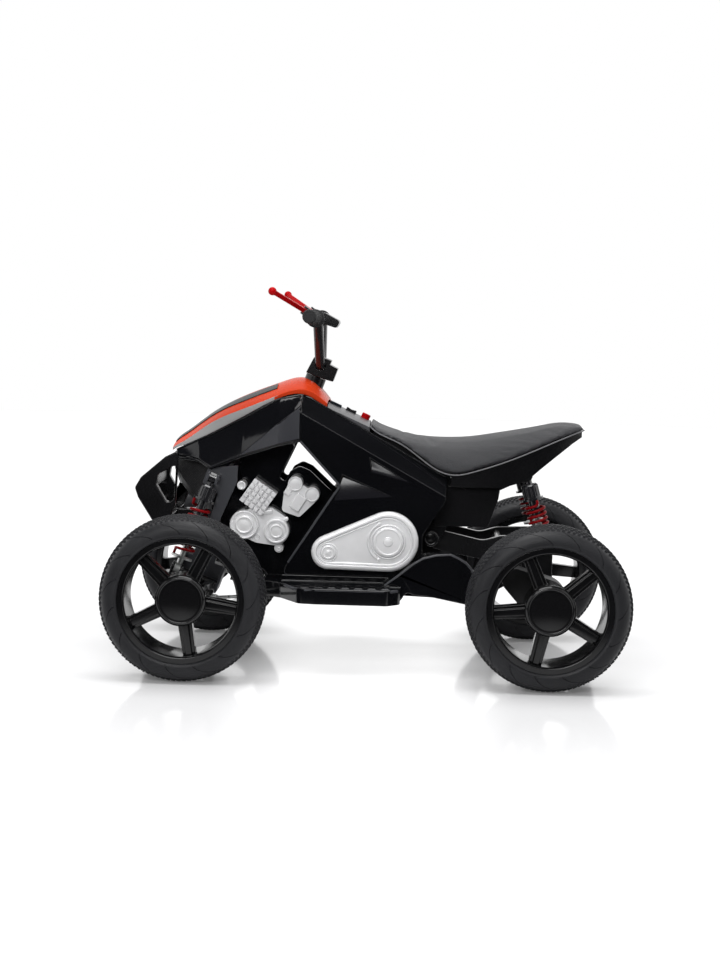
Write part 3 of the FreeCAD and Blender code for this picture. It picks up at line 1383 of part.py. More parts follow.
# Seat: x, half width, lower edge and crown
SEAT = [
    (1, 107, 486, 493), (-45, 110, 460.5, 474), (-100, 115, 426, 463),
    (-150, 121, 397.5, 461), (-205, 122, 402, 464), (-265, 120, 422, 474),
    (-340, 108, 453, 488), (-405, 84, 480, 499), (-428, 66, 488, 495),
]
SEAT_WIDEST = max(half for _, half, _, _ in SEAT)


def cushion():
    """A crowned saddle cushion with drawn-in sides, thin at the front and at the tail."""
    sections = []
    for x, half, low, top in SEAT:
        half *= size.cushion_half_width / SEAT_WIDEST
        rise = top - low
        hip = [Vector(x, half, low), Vector(x, 0.965 * half, low + 0.5 * rise),
               Vector(x, 0.76 * half, top - 0.17 * rise)]
        crown = Part.Arc(hip[2], Vector(x, 0, top), Vector(x, -hip[2].y, hip[2].z)).toShape()
        other = [Vector(x, -point.y, point.z) for point in hip]
        sections.append(Part.Wire([
            Part.Arc(*hip).toShape(), crown, Part.Arc(*reversed(other)).toShape(),
            Part.LineSegment(other[0], hip[0]).toShape()]))
    return loft(sections)


# Seat base: x, top and floor heights
BASE = [(-162, 398, 371.3), (-205, 401.8, 371.3), (-263, 421.2, 371.3), (-313, 441.6, 386),
        (-340, 452.8, 410), (-405, 479.8, 462), (-424, 486.6, 474)]
# The base's forward tongue in the same terms, and where its cross ribs stand
TONGUE = [(-4, 483, 464), (-45, 460.3, 438), (-100, 425.8, 404), (-150, 397.3, 372), (-163, 398, 372)]
SEAT_RIBS = (-176, -232)


def seat_half(x):
    """The cushion's half width at a station, read off between its sections."""
    for (front, wide, _, _), (back, next_wide, _, _) in zip(SEAT, SEAT[1:]):
        if back <= x <= front:
            return wide + (next_wide - wide) * (front - x) / (front - back)
    return SEAT[-1][1]


def trough(stations, halves, inset):
    """A straight-sided solid through stations; an inset narrows and lowers it to hollow another out."""
    sections = []
    for (x, top, low), half in zip(stations, halves):
        w = half - inset
        sections.append(polygon([Vector(x, -w, low - inset), Vector(x, w, low - inset),
                                 Vector(x, w, top - inset), Vector(x, -w, top - inset)]))
    return loft(sections, True)


def seat_base(cushion_shape):
    """The pan under the cushion, open below, with a tongue that runs forward between the side panels."""
    pan_halves = [min(size.base_half_width, seat_half(x) - 3) for x, _, _ in BASE]
    pan = trough(BASE, pan_halves, 0)
    room = trough(BASE, pan_halves, size.skin)
    tongue_halves = [min(size.base_tongue, seat_half(x) - 6) for x, _, _ in TONGUE]
    tongue = trough(TONGUE, tongue_halves, 0)
    hollow = trough(TONGUE, tongue_halves, size.skin)
    wide, tall = 2 * size.base_half_width, size.column_z
    ribs = [pan.common(Part.makeBox(size.skin, wide, tall, Vector(x, -wide / 2, 0))) for x in SEAT_RIBS]
    shell = pan.cut(room).multiFuse([tongue.cut(hollow).cut(room)] + ribs).removeSplitter()
    return shell.cut(cushion_shape.translated(Vector(0, 0, -size.seat_gap)))


def rear_housing():
    """The box behind the tub with cheeks for the swing arm's pivot and arms for the rear shocks."""
    top_x, top_z = size.rear_top_x, size.rear_top_z
    pivot_x, pivot_z = size.swing_pivot_x, size.swing_pivot_z
    front, skin, half = HOUSING_FRONT, size.skin, size.housing_half_width
    box = slab([(front, 290), (front, 341), (-158, HOUSING_TOP, 6), (-262, HOUSING_TOP, 8), (-258, 346, 8),
                (-239, 290, 8)], -half, half)
    room = slab([(front - skin, 286), (front - skin, 340), (-160, HOUSING_TOP - skin),
                 (-256, HOUSING_TOP - skin), (-254, 346), (-235, 286)], skin - half, half - skin)
    low = cheek_inner()
    cheek = slab([(pivot_x + 17, 293, 4), (pivot_x - 34, 293, 4), (pivot_x - 14, pivot_z - 13, 12),
                  (pivot_x + 14, pivot_z - 13, 12)], low, low + size.cheek_plate)
    inner = size.rear_shock_y - size.eye_width / 2 - size.eye_play
    arm = slab([(-236, 352), (top_x + 24, top_z - 18, 10), (top_x - 8, top_z - 12, 6), (top_x - 13, top_z, 8),
                (top_x - 4, top_z + 12, 8), (top_x + 24, top_z + 8, 8), (-236, 370)],
               inner - size.cheek_plate, inner)
    pieces = [shape for item in (cheek, arm) for shape in both_sides(item).Solids]
    solid = box.cut(room).multiFuse(pieces)
    bores = []
    for x, z, pin in ((pivot_x, pivot_z, size.swing_pin_radius), (top_x, top_z, size.shock_pin_radius)):
        start = Vector(x, -size.track / 2, z)
        bores.append(Part.makeCylinder(pin + size.running_fit, size.track, start, ACROSS))
    return solid.cut(Part.makeCompound(bores)).removeSplitter()


def pivot_bolts():
    """The fixed bolts that the arms and the shocks' top eyes turn on."""
    head = size.bolt_head
    grip_end = cheek_inner() + size.cheek_plate
    swing = Part.makeCylinder(size.swing_pin_radius, 2 * (grip_end + head),
                              Vector(size.swing_pivot_x, -grip_end - head, size.swing_pivot_z), ACROSS)
    caps = []
    for hand in (1, -1):
        start = Vector(size.swing_pivot_x, hand * grip_end, size.swing_pivot_z)
        caps.append(Part.makeCylinder(size.bolt_head_radius, head, start, ACROSS * hand))
    bolts = [swing.multiFuse(caps)]
    eye_side = size.eye_width / 2 + size.eye_play
    for hand in (1, -1):
        inner = size.rear_shock_y - eye_side - size.cheek_plate
        start = Vector(size.rear_top_x, hand * inner, size.rear_top_z)
        reach = size.rear_shock_y + eye_side - inner
        bolts.append(Part.makeCylinder(size.shock_pin_radius, reach, start, ACROSS * hand))
    frame = Placement(front_hub(), Rotation(Vector(0, 1, 0), -size.rake))
    ahead = Vector(1, 0, 0)
    half = size.arm_span / 2 + size.side_play + size.ear_plate
    ear_side = eye_side + size.ear_plate
    for hand in (1, -1):
        arm_start = Vector(-half, hand * size.arm_pivot_y, 0)
        arm_pin = Part.makeCylinder(size.arm_pin_radius, 2 * half, arm_start, ahead)
        top_start = Vector(size.front_shock_x - ear_side, hand * size.front_top_y, size.front_top_z)
        top_pin = Part.makeCylinder(size.shock_pin_radius, 2 * ear_side, top_start, ahead)
        bolts += [pin.transformed(frame.toMatrix()) for pin in (arm_pin, top_pin)]
    return Part.makeCompound(bolts)


# Dummy engine and belt cover on each side
def engine():
    """A silver casting: gridded cooler block, two round covers, intake body and caps."""
    low = size.tub_half_width + size.seat_gap
    high = low + size.engine_depth
    cooler_at = Vector(223, 0, 340)
    half = size.cooler / 2

    def turned(shape):
        shape.rotate(cooler_at, ACROSS, -size.cooler_tilt)
        return shape

    def cooler_box(x, z, wide, tall, start, depth):
        return Part.makeBox(wide, depth, tall, cooler_at + Vector(x, start, z))

    fins = cooler_box(-half, -half, 2 * half, 2 * half, low, high - low)
    gap, depth = size.fin_gap, size.fin_depth
    for line in range(1, int(size.cooler_fins)):
        offset = -half + line * size.cooler / size.cooler_fins - gap / 2
        fins = fins.cut(cooler_box(offset, -half, gap, 2 * half, high - depth, depth))
        fins = fins.cut(cooler_box(-half, offset, 2 * half, gap, high - depth, depth))
    parts = [turned(fins)]
    rounds = [(250, 283, 29, high - 8), (250, 283, 18, high - 3), (185, 272, 26, high - 6),
              (185, 272, 14, high), (149, 368, 15, high - 10), (115, 347, 15, high - 10),
              (257, 362, 9, high - 6), (224, 258, 9, high - 18), (180, 236, 9, high - 18)]
    for x, z, radius, end in rounds:
        parts.append(Part.makeCylinder(radius, end - low, Vector(x, low, z), ACROSS))
    crank = [(262, 262, 10), (272, 300, 10), (236, 316, 8), (196, 318, 8), (168, 300, 10),
             (160, 262, 12), (178, 240, 10), (226, 246, 10)]
    parts.append(slab(crank, low, high - 16))
    intake = [(158, 380, 8), (100, 345, 8), (108, 332, 8), (140, 300, 8), (176, 312, 8), (172, 348, 8)]
    parts.append(slab(intake, low, high - 14))
    return both_sides(parts[0].multiFuse(parts[1:]).removeSplitter())


def belt_cover():
    """A teardrop cover with a raised rim, a large and a small disc."""
    low = size.panel_outer + size.seat_gap
    high = low + size.belt_cover_depth
    big, small = Vector(-40, 0, 262), Vector(78, 0, 238)
    case = teardrop(big, 60, small, 34, low, high)
    dish = teardrop(big, 50, small, 24, high - 6, high + 1)
    discs = [(big, 30, high - 1), (big, 9, high + 1), (small, 15, high - 2)]
    solid = case.cut(dish)
    for centre, radius, end in discs:
        solid = solid.fuse(Part.makeCylinder(radius, end - low, centre + ACROSS * low, ACROSS))
    return both_sides(solid.removeSplitter())


def pedal():
    """The accelerator pedal on the right footboard, hinged at its heel."""
    low = size.board_top + size.seat_gap
    heel, toe = 60, 60 + size.pedal_length
    side = [(heel, low), (heel, low + 6, 2), (toe, low + 26, 3), (toe + 3, low + 19, 3), (heel + 16, low, 5)]
    start = -size.board_half_width + 60
    return slab(side, start, start + size.pedal_width)


rim_masters = [*rim(), hub_cap()]
body_master = shock_body("shock_body")
front_length = math.hypot(size.front_foot_y - size.front_top_y, size.front_top_z - size.front_foot_z)
rear_length = (rear_foot() - Vector(size.rear_top_x, 0, size.rear_top_z)).Length
front_rod_master = shock_rod("front_shock_rod", front_length)
rear_rod_master = shock_rod("rear_shock_rod", rear_length)
doc.recompute()

wheels()
arm_left = node("front_arm_left", lower_arm())
node("front_arm_right", mirrored("arm_right", arm_left))
knuckle_left = node("knuckle_left", knuckle())
node("knuckle_right", mirrored("knuckle_right", knuckle_left))
node("tie_rod_left", tie_rod("left", 1))
node("tie_rod_right", tie_rod("right", -1))
node("front_cross_member", cross_member())
node("pivot_bolts", feature("bolts", pivot_bolts()))
shocks()
node("swing_arm", feature("swing", swing_arm()))
node("rear_axle", rear_axle())
node("gearboxes", feature("gear_cases", gearboxes()))
node("drive_motors", feature("motors", drive_motors()))
node("steering_column", column())
node("handlebar_clamp", clamp())
node("steering_collar", collar())
node("handlebar", feature("bar", handlebar()))
node("bar_pod", feature("pod", bar_pod()))
node("grips", feature("grip_pair", grip()))
node("lever_perches", feature("perch_pair", perches()))
lever_left = node("brake_lever_left", feature("lever", lever()))
node("brake_lever_right", mirrored("lever_right", lever_left))
panel_left = node("side_panel_left", feature("panel", side_panel()))
node("side_panel_right", mirrored("panel_right", panel_left))
board_left = node("footboard_left", feature("board", footboard()))
node("footboard_right", mirrored("board_right", board_left))
cover_shape = nose_cover()
node("nose_cover", feature("cover", cover_shape))
node("nose_stripes", feature("stripes", both_sides(nose_stripe(cover_shape))))
node("nose_shell", feature("nose", nose_shell()))
node("headlights", feature("lamps", headlights()))
node("front_bumper", feature("bumper", bumper()))
node("chassis_tub", feature("tub", tub()))
node("battery_pack", battery())
node("control_box", control_box())
node("dash_panel", feature("dash", dash_panel()))
node("display", feature("meter", display(), dash_placement()))
node("power_button", feature("power", power_button(), dash_placement()))
node("rocker_switch", feature("rocker", rocker(), dash_placement()))
cushion_shape = cushion()
node("seat_cushion", feature("cushion", cushion_shape))
node("seat_base", feature("base", seat_base(cushion_shape)))
node("rear_housing", feature("housing", rear_housing()))
node("dummy_engines", feature("engines", engine()))
node("belt_covers", feature("covers", belt_cover()))
node("accelerator_pedal", feature("pedal", pedal()))
doc.recompute()

for item in doc.Objects:
    if {"Invalid", "Error"} & set(item.State):
        raise RuntimeError(f"{item.Label} failed: {item.State}")
for item in nodes:
    if item.Shape.isNull() or not item.Shape.isValid() or not item.Shape.Solids:
        raise RuntimeError(f"{item.Label} has no valid solid")
os.makedirs("parts", exist_ok=True)
for item in nodes:
    item.Shape.exportStep(f"parts/{item.Label}.step")
print(len(nodes), "sub-parts written")
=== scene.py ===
import json
import math
import bmesh
import bpy
from mathutils import Matrix, Vector
from mathutils.geometry import interpolate_bezier


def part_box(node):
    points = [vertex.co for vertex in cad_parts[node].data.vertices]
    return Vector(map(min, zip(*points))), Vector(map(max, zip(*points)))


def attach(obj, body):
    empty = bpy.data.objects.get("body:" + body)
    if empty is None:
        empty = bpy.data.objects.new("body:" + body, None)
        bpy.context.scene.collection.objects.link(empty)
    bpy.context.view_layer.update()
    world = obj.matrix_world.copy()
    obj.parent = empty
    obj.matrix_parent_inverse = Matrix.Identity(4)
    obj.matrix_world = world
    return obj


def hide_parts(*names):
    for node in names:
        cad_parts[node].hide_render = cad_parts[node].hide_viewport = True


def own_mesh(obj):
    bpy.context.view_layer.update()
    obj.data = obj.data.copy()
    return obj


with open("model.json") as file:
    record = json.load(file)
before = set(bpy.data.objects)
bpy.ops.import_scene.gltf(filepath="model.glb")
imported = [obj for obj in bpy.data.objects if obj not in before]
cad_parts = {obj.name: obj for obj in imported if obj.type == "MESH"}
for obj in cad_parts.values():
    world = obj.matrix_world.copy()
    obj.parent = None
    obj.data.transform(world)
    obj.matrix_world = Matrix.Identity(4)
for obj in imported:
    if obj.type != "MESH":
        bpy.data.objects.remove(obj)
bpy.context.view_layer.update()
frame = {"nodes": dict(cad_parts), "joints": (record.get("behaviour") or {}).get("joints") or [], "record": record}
ACROSS = Vector((0, 1, 0))
MERGE = 0.00002
# Angles in degrees: edges that are rounded, and edges that stay sharp in the shading
CRISP_TURN = 32
SMOOTH_TURN = 38


# Materials: nodes written as expressions on object coordinates
class Wire:
    """A shader socket whose arithmetic adds Math nodes."""

    def __init__(self, paint, socket):
        self.paint = paint
        self.socket = socket

    def math(self, operation, *others):
        return self.paint.node("Math", {"operation": operation}, dict(enumerate((self, *others))))

    def __add__(self, other):
        return self.math("ADD", other)

    def __sub__(self, other):
        return self.math("SUBTRACT", other)

    def __rsub__(self, other):
        return self.math("MULTIPLY_ADD", -1, other)

    def __mul__(self, other):
        return self.math("MULTIPLY", other)

    __radd__ = __add__
    __rmul__ = __mul__

    def over(self, low, high):
        """A smooth step from 0 at low to 1 at high."""
        sockets = {"Value": self, "From Min": low, "From Max": high}
        return self.paint.node("MapRange", {"interpolation_type": "SMOOTHSTEP"}, sockets)


class Paint:
    """One finish: a material's nodes, its patterns and its shader."""

    def __init__(self, name, tree=None):
        if tree is None:
            self.material = bpy.data.materials.new(name)
            self.material.use_nodes = True
            tree = self.material.node_tree
        self.tree = tree
        self.tree.nodes.clear()

    def node(self, kind, settings=None, sockets=None, out=0):
        """A node of a kind, with its settings and then its sockets' values or links."""
        made = self.tree.nodes.new("ShaderNode" + kind)
        for key, value in (settings or {}).items():
            setattr(made, key, value)
        for key, value in (sockets or {}).items():
            if isinstance(value, Wire):
                self.tree.links.new(value.socket, made.inputs[key])
            else:
                made.inputs[key].default_value = value
        return Wire(self, made.outputs[out]) if made.outputs else None

    def place(self):
        return self.node("TexCoord", out="Object")

    def axis(self, index):
        return self.node("SeparateXYZ", sockets={0: self.place()}, out=index)

    def noise(self, scale, detail=2.0, stretch=(1, 1, 1)):
        spot = self.node("Mapping", sockets={"Vector": self.place(), "Scale": stretch})
        return self.node("TexNoise", sockets={"Vector": spot, "Scale": scale, "Detail": detail})

    def cells(self, scale, feature="F1"):
        sockets = {"Vector": self.place(), "Scale": scale}
        return self.node("TexVoronoi", {"feature": feature}, sockets)

    def mix(self, mask, low, high):
        """Two colours by a mask."""
        sockets = {0: mask, 6: (*low, 1), 7: (*high, 1)}
        return self.node("Mix", {"data_type": "RGBA"}, sockets, out=2)

    def bump(self, height, depth, strength=1.0):
        return self.node("Bump", sockets={"Height": height, "Distance": depth, "Strength": strength})

    def skin(self, base, roughness, normal=None, **fixed):
        """The finish's shader; fixed sets its other sockets by their short names."""
        sockets = {"Base Color": base if isinstance(base, Wire) else (*base, 1), "Roughness": roughness}
        if normal:
            sockets["Normal"] = normal
        sockets.update({FIXED[key]: value for key, value in fixed.items()})
        return self.node("BsdfPrincipled", sockets=sockets)

    def done(self, shader):
        self.node("OutputMaterial", sockets={"Surface": shader})
        return self.material

    def coat(self, *layers, **fixed):
        return self.done(self.skin(*layers, **fixed))


FIXED = {
    "specular": "Specular IOR Level", "metallic": "Metallic", "coat": "Coat Weight",
    "coat_rough": "Coat Roughness", "sheen": "Sheen Weight", "glow": "Emission Color",
    "glow_strength": "Emission Strength",
}


def moulded(name, colour, rough, grain=0.0, grain_scale=900.0, haze=0.06, specular=0.5):
    """Injection-moulded plastic: haze in its gloss, faint flow tone and an optional spark-eroded grain."""
    paint = Paint(name)
    smudge = paint.noise(9, 4)
    flow = paint.noise(3, 2, (1, 1, 2))
    base = paint.mix(flow.over(0.35, 0.7), [c * 0.82 for c in colour], [c * 1.15 for c in colour])
    height = paint.noise(70, 1) * 0.4
    if grain:
        height = height + paint.noise(grain_scale, 2)
    normal = paint.bump(height, max(grain, 0.00003))
    gloss = smudge.over(0.3, 0.8) * haze + (rough - haze / 2)
    return paint.coat(base, gloss, normal, specular=specular)


def dotted(name, colour):
    """Black moulding with rows of small raised dots."""
    paint = Paint(name)
    pitch = 0.0052
    rows = [(paint.axis(i) * (2 * math.pi / pitch)).math("SINE") for i in (0, 2)]
    dots = (rows[0] * rows[1]).over(0.25, 0.7)
    base = paint.mix(dots, colour, [c * 1.8 for c in colour])
    normal = paint.bump(dots + paint.noise(700, 2) * 0.15, 0.0006)
    return paint.coat(base, dots * -0.1 + 0.48, normal)


def silver_paint(name, colour, rough):
    """Silver-sprayed plastic: fine flake, soft clear coat and darker haze in patches."""
    paint = Paint(name)
    flake = paint.cells(2600)
    patch = paint.noise(14, 3)
    base = paint.mix(patch.over(0.3, 0.75), [c * 0.88 for c in colour], colour)
    normal = paint.bump(flake + paint.noise(240, 2), 0.00005)
    gloss = flake.over(0.1, 0.7) * 0.1 + rough
    return paint.coat(base, gloss, normal, metallic=0.25, coat=0.4, coat_rough=0.15)


def plated(name, colour, rough):
    """Zinc-plated steel: spangle, draw marks and a dull bloom."""
    paint = Paint(name)
    spangle = paint.cells(380)
    bloom = paint.noise(45, 4)
    base = paint.mix(bloom.over(0.3, 0.7), [c * 0.7 for c in colour], colour)
    normal = paint.bump(spangle * 0.5 + paint.noise(600, 3), 0.00006)
    gloss = bloom.over(0.25, 0.75) * 0.2 + rough
    return paint.coat(base, gloss, normal, metallic=0.9)


def coated(name, colour, rough, coat=0.6, specular=0.3):
    """Powder-coated steel or sprayed plastic: orange peel under a clear gloss."""
    paint = Paint(name)
    tone = paint.noise(22, 3)
    base = paint.mix(tone.over(0.3, 0.75), [c * 0.85 for c in colour], colour)
    normal = paint.bump(paint.noise(420, 2), 0.00012)
    gloss = paint.noise(12, 3).over(0.3, 0.8) * 0.08 + rough
    return paint.coat(base, gloss, normal, coat=coat, coat_rough=0.08, specular=specular)


def rubber(name, colour, rough, grain=0.0003):
    """Moulded tyre and grip rubber: pitted skin and a dusty bloom."""
    paint = Paint(name)
    bloom = paint.noise(16, 4)
    base = paint.mix(bloom.over(0.3, 0.8), colour, [c * 1.35 for c in colour])
    pits = paint.noise(1100, 2) + paint.cells(520) * 0.6
    normal = paint.bump(pits, grain)
    gloss = bloom.over(0.3, 0.8) * 0.12 + rough
    return paint.coat(base, gloss, normal, specular=0.25)


def hide(name, colour):
    """Leatherette: pebble grain of two sizes with creases between, worn a little smoother in patches."""
    paint = Paint(name)
    pebble = paint.cells(330, "DISTANCE_TO_EDGE")
    fine = paint.cells(900, "DISTANCE_TO_EDGE")
    worn = paint.noise(7, 3)
    grain = pebble.over(0.0, 0.22) + fine.over(0.0, 0.25) * 0.35
    base = paint.mix(grain.over(0.1, 0.9), [c * 0.72 for c in colour], colour)
    normal = paint.bump(grain + paint.noise(24, 3) * 0.5, 0.0005, 0.7)
    gloss = worn.over(0.3, 0.75) * -0.1 + 0.56
    return paint.coat(base, gloss, normal, sheen=0.06)


def lens(name, colour):
    """A frosted lamp lens with moulded flutes."""
    paint = Paint(name)
    flutes = (paint.axis(1) * (2 * math.pi / 0.004)).math("SINE")
    base = paint.mix(flutes.over(-0.8, 0.8), [c * 0.75 for c in colour], colour)
    normal = paint.bump(flutes, 0.0005)
    haze = paint.noise(60, 2) * 0.06 + 0.08
    return paint.coat(base, haze, normal, coat=0.8, coat_rough=0.05)


def screen_glass(name, colour):
    """A smoked display window with a dim segment field behind it."""
    paint = Paint(name)
    field = paint.noise(90, 1)
    base = paint.mix(field.over(0.35, 0.65), colour, [c * 1.6 for c in colour])
    haze = paint.noise(30, 2) * 0.05 + 0.05
    return paint.coat(base, haze, paint.bump(field, 0.00002), coat=1.0)


FINISH = {
    "body_black": moulded("gloss_black_moulding", (0.0045, 0.0047, 0.0058), 0.10),
    "frame_black": moulded("satin_black_moulding", (0.0065, 0.0066, 0.0075), 0.22, 0.00006, 1200),
    "nose_black": dotted("dotted_black_moulding", (0.008, 0.008, 0.009)),
    "orange": moulded("orange_gloss_moulding", (0.58, 0.046, 0.010), 0.28, specular=0.06),
    # A light grey that paints in the reflection along the front of the nose cover's skirts
    "skirt_painted_reflection": moulded("painted_reflection_grey_trim", (0.36, 0.36, 0.36), 0.34, 0.00006),
    "stripe_black": moulded("stripe_black_moulding", (0.012, 0.012, 0.013), 0.42, 0.0001),
    "tower_grey": moulded("tower_grey_moulding", (0.050, 0.052, 0.060), 0.34, 0.0001),
    "silver": silver_paint("silver_sprayed_plastic", (0.95, 0.95, 0.96), 0.30),
    "dash_grey": moulded("dash_grey_moulding", (0.045, 0.045, 0.050), 0.36, 0.00012),
    "screen": screen_glass("smoked_display_glass", (0.012, 0.016, 0.020)),
    "lamp_lens": lens("frosted_lamp_lens", (0.72, 0.74, 0.76)),
    "seat_hide": hide("charcoal_leatherette", (0.014, 0.0145, 0.018)),
    "tyre_black": rubber("tyre_rubber", (0.0120, 0.0122, 0.0140), 0.36),
    "rim_black": moulded("gloss_black_wheel", (0.0060, 0.0060, 0.0066), 0.12),
    "grip_rubber": rubber("grip_rubber", (0.014, 0.014, 0.015), 0.6, 0.0002),
    "bar_black": coated("gloss_black_coat", (0.010, 0.010, 0.011), 0.26),
    "lever_red": moulded("red_gloss_moulding", (0.44, 0.003, 0.005), 0.28, specular=0.05),
    "spring_red": coated("red_spring_coat", (0.22, 0.003, 0.005), 0.30, 0.0, 0.08),
    "zinc": plated("zinc_plate", (0.62, 0.63, 0.62), 0.24),
    "shock_black": coated("shock_black_coat", (0.016, 0.016, 0.019), 0.18, 1.0),
    "case_black": moulded("matt_black_case", (0.012, 0.012, 0.013), 0.5, 0.0002, 800),
    # A light grey that paints in the highlight along the seat's lower edge
    "piping": moulded("painted_highlight_piping", (0.16, 0.16, 0.17), 0.4, 0.00005),
    # Lighter copies of the black moulding: painted reflections on the panel facets and painted highlight lines on
    # the satin edges
    "facet_satin": moulded("satin_facet_painted_light", (0.034, 0.035, 0.042), 0.40, 0.00008),
    "scallop_painted_reflection": moulded("gloss_scallop_painted_reflection", (0.012, 0.012, 0.015), 0.17),
}


# Making pieces
def piece(name, bm, material, body, slot=None):
    """A finished mesh object on a body, with even shading over its faces and roundings."""
    mesh = bpy.data.meshes.new(name)
    bm.to_mesh(mesh)
    bm.free()
    return dress(bpy.data.objects.new(name, mesh), material, body, slot)


def dress(obj, material, body, slot=None):
    """Put an object in the scene on a body, with its finish and smooth shading."""
    bpy.context.scene.collection.objects.link(obj)
    obj.data.materials.clear()
    obj.data.materials.append(FINISH[material])
    obj.data.shade_smooth()
    obj.data.set_sharp_from_angle(angle=math.radians(SMOOTH_TURN))
    even = obj.modifiers.new("even_normals", "WEIGHTED_NORMAL")
    even.keep_sharp = True
    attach(obj, body)
    slot or material in SLOTS
    return obj


SLOTS = {entry["slot"] for entry in frame["record"]["materials"]}
BODY_OF = {node: body for body, nodes in frame["record"]["behaviour"]["bodies"].items() for node in nodes}


def copied(node):
    """A CAD node's mesh as one merged bmesh with its flat faces whole."""
    bm = bmesh.new()
    bm.from_mesh(frame["nodes"][node].data)
    bmesh.ops.remove_doubles(bm, verts=bm.verts, dist=MERGE)
    bmesh.ops.dissolve_limit(bm, angle_limit=math.radians(0.5), verts=bm.verts, edges=bm.edges)
    return bm


def crisp_edges(bm):
    """The edges where two faces meet at a sharp angle."""
    turn = math.radians(CRISP_TURN)
    return [e for e in bm.edges if len(e.link_faces) == 2 and e.calc_face_angle(0) > turn]


def bevelled(bm, edges, offset, segments=2, clamp=False):
    """Round some edges of a bmesh."""
    bmesh.ops.bevel(bm, geom=edges, offset=offset, offset_type="OFFSET", segments=segments, profile=0.5,
                    affect="EDGES", clamp_overlap=clamp, material=-1)


def rounded(node, edge, material):
    """Stand a copy of a CAD node in for it, with its sharp edges rounded so that they catch the light."""
    bm = copied(node)
    bevelled(bm, crisp_edges(bm), edge)
    obj = piece(node + "_finished", bm, material, BODY_OF[node])
    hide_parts(node)
    return obj


def pair(stem):
    """The names of a left and right piece."""
    return (stem + "_left", stem + "_right")


def four(stem):
    """The names of a piece at each wheel."""
    return [f"{stem}_{end}_{side}" for end in ("front", "rear") for side in ("left", "right")]


# Rigid pieces whose edges are rounded: finish, rounding in metres, nodes
ROUNDED = (
    ("body_black", 0.0018, pair("side_panel")),
    ("body_black", 0.0015, pair("footboard")),
    ("body_black", 0.0012, ("chassis_tub",)),
    ("frame_black", 0.0022, ("front_bumper",)),
    ("frame_black", 0.0010, ("rear_housing", "bar_pod", "handlebar_clamp", "accelerator_pedal")),
    ("frame_black", 0.0006, ("seat_base", "steering_collar")),
    ("nose_black", 0.0010, ("nose_shell",)),
    ("tower_grey", 0.0010, ("front_cross_member",)),
    ("silver", 0.0005, ("dummy_engines",)),
    ("rim_black", 0.0012, four("rim")),
    ("lever_red", 0.0014, pair("brake_lever")),
    ("bar_black", 0.0008, ("lever_perches", "swing_arm", *pair("front_arm"))),
    ("case_black", 0.0012, ("battery_pack", "control_box", "gearboxes")),
    ("dash_grey", 0.0005, ("dash_panel",)),
    ("lamp_lens", 0.0006, ("headlights",)),
)
for finish, edge, nodes in ROUNDED:
    for node in nodes:
        rounded(node, edge, finish)


# The side panels' lower front facets take a lighter satin and their scallops a softer, lighter gloss: painted
# reflections, placed by where the faces lie and how they lean
def painted_light_facets(side, hand):
    """Give a side panel's facets lighter finishes that paint in reflections, by where they lie and how they lean.
    """
    mesh = bpy.data.objects[f"side_panel_{side}_finished"].data
    mesh.materials.append(FINISH["facet_satin"])
    mesh.materials.append(FINISH["scallop_painted_reflection"])
    for face in mesh.polygons:
        x, y, z = face.center
        out, up = hand * face.normal.y, face.normal.z
        wing = x > 0.142 and hand * y > 0.12 and out > 0.8 and up < -0.01
        scallop = -0.11 < x < 0.075 and 0.32 < z < 0.43 and 0.85 < out < 0.985 and 0.2 < up < 0.5
        if wing or scallop:
            # Wing facets that lean down and scallop faces that lean up take the painted reflection colours
            face.material_index = 1 if wing else 2


painted_light_facets("left", 1)
painted_light_facets("right", -1)


# Tyres: a spun carcass with swept sidewall grooves, and rows of small tread knobs
KNOB_RISE = 0.0032
KNOB_COUNT = 96
KNOB_ROWS = (-0.033, -0.022, -0.011, 0.0, 0.011, 0.022, 0.033)
CROWN_FALL = 0.0036
CROWN_HALF = 0.034
SWEEPS = 15
COLUMNS = 20
SWEEP_TURN = math.radians(19)
GROOVE = 0.0020
GATHER = -0.72
KNOB_HALF = (0.0030, 0.0040)
KNOB_FOOT, KNOB_TOP = 1.414, 0.9
KNOB_ROOT = 0.0006
KNOB_SINK = 0.0004


def tyre_section(radius, half, bead):
    """Half of a tyre's section from crown to bead, as (across, radius) points."""
    crown = Vector((0, radius - KNOB_RISE, 0))
    shoulder = Vector((CROWN_HALF, radius - KNOB_RISE - CROWN_FALL, 0))
    wall = Vector((half * 0.975, radius - 0.029, 0))
    foot = Vector((half * 0.92, bead, 0))
    ease = Vector((0.012, -0.0026, 0))
    top = interpolate_bezier(crown, crown + Vector((0.012, 0, 0)), shoulder - ease, shoulder, 5)
    side = interpolate_bezier(shoulder, shoulder + ease, wall + Vector((0, 0.012, 0)), wall, 9)
    low = interpolate_bezier(wall, wall - Vector((0, 0.004, 0)), foot + Vector((0.0035, 0.003, 0)), foot, 6)
    inner = [Vector((half * 0.86, bead - 0.0008, 0)), Vector((half * 0.78, bead + 0.0006, 0))]
    return top + side[1:] + low[1:] + inner


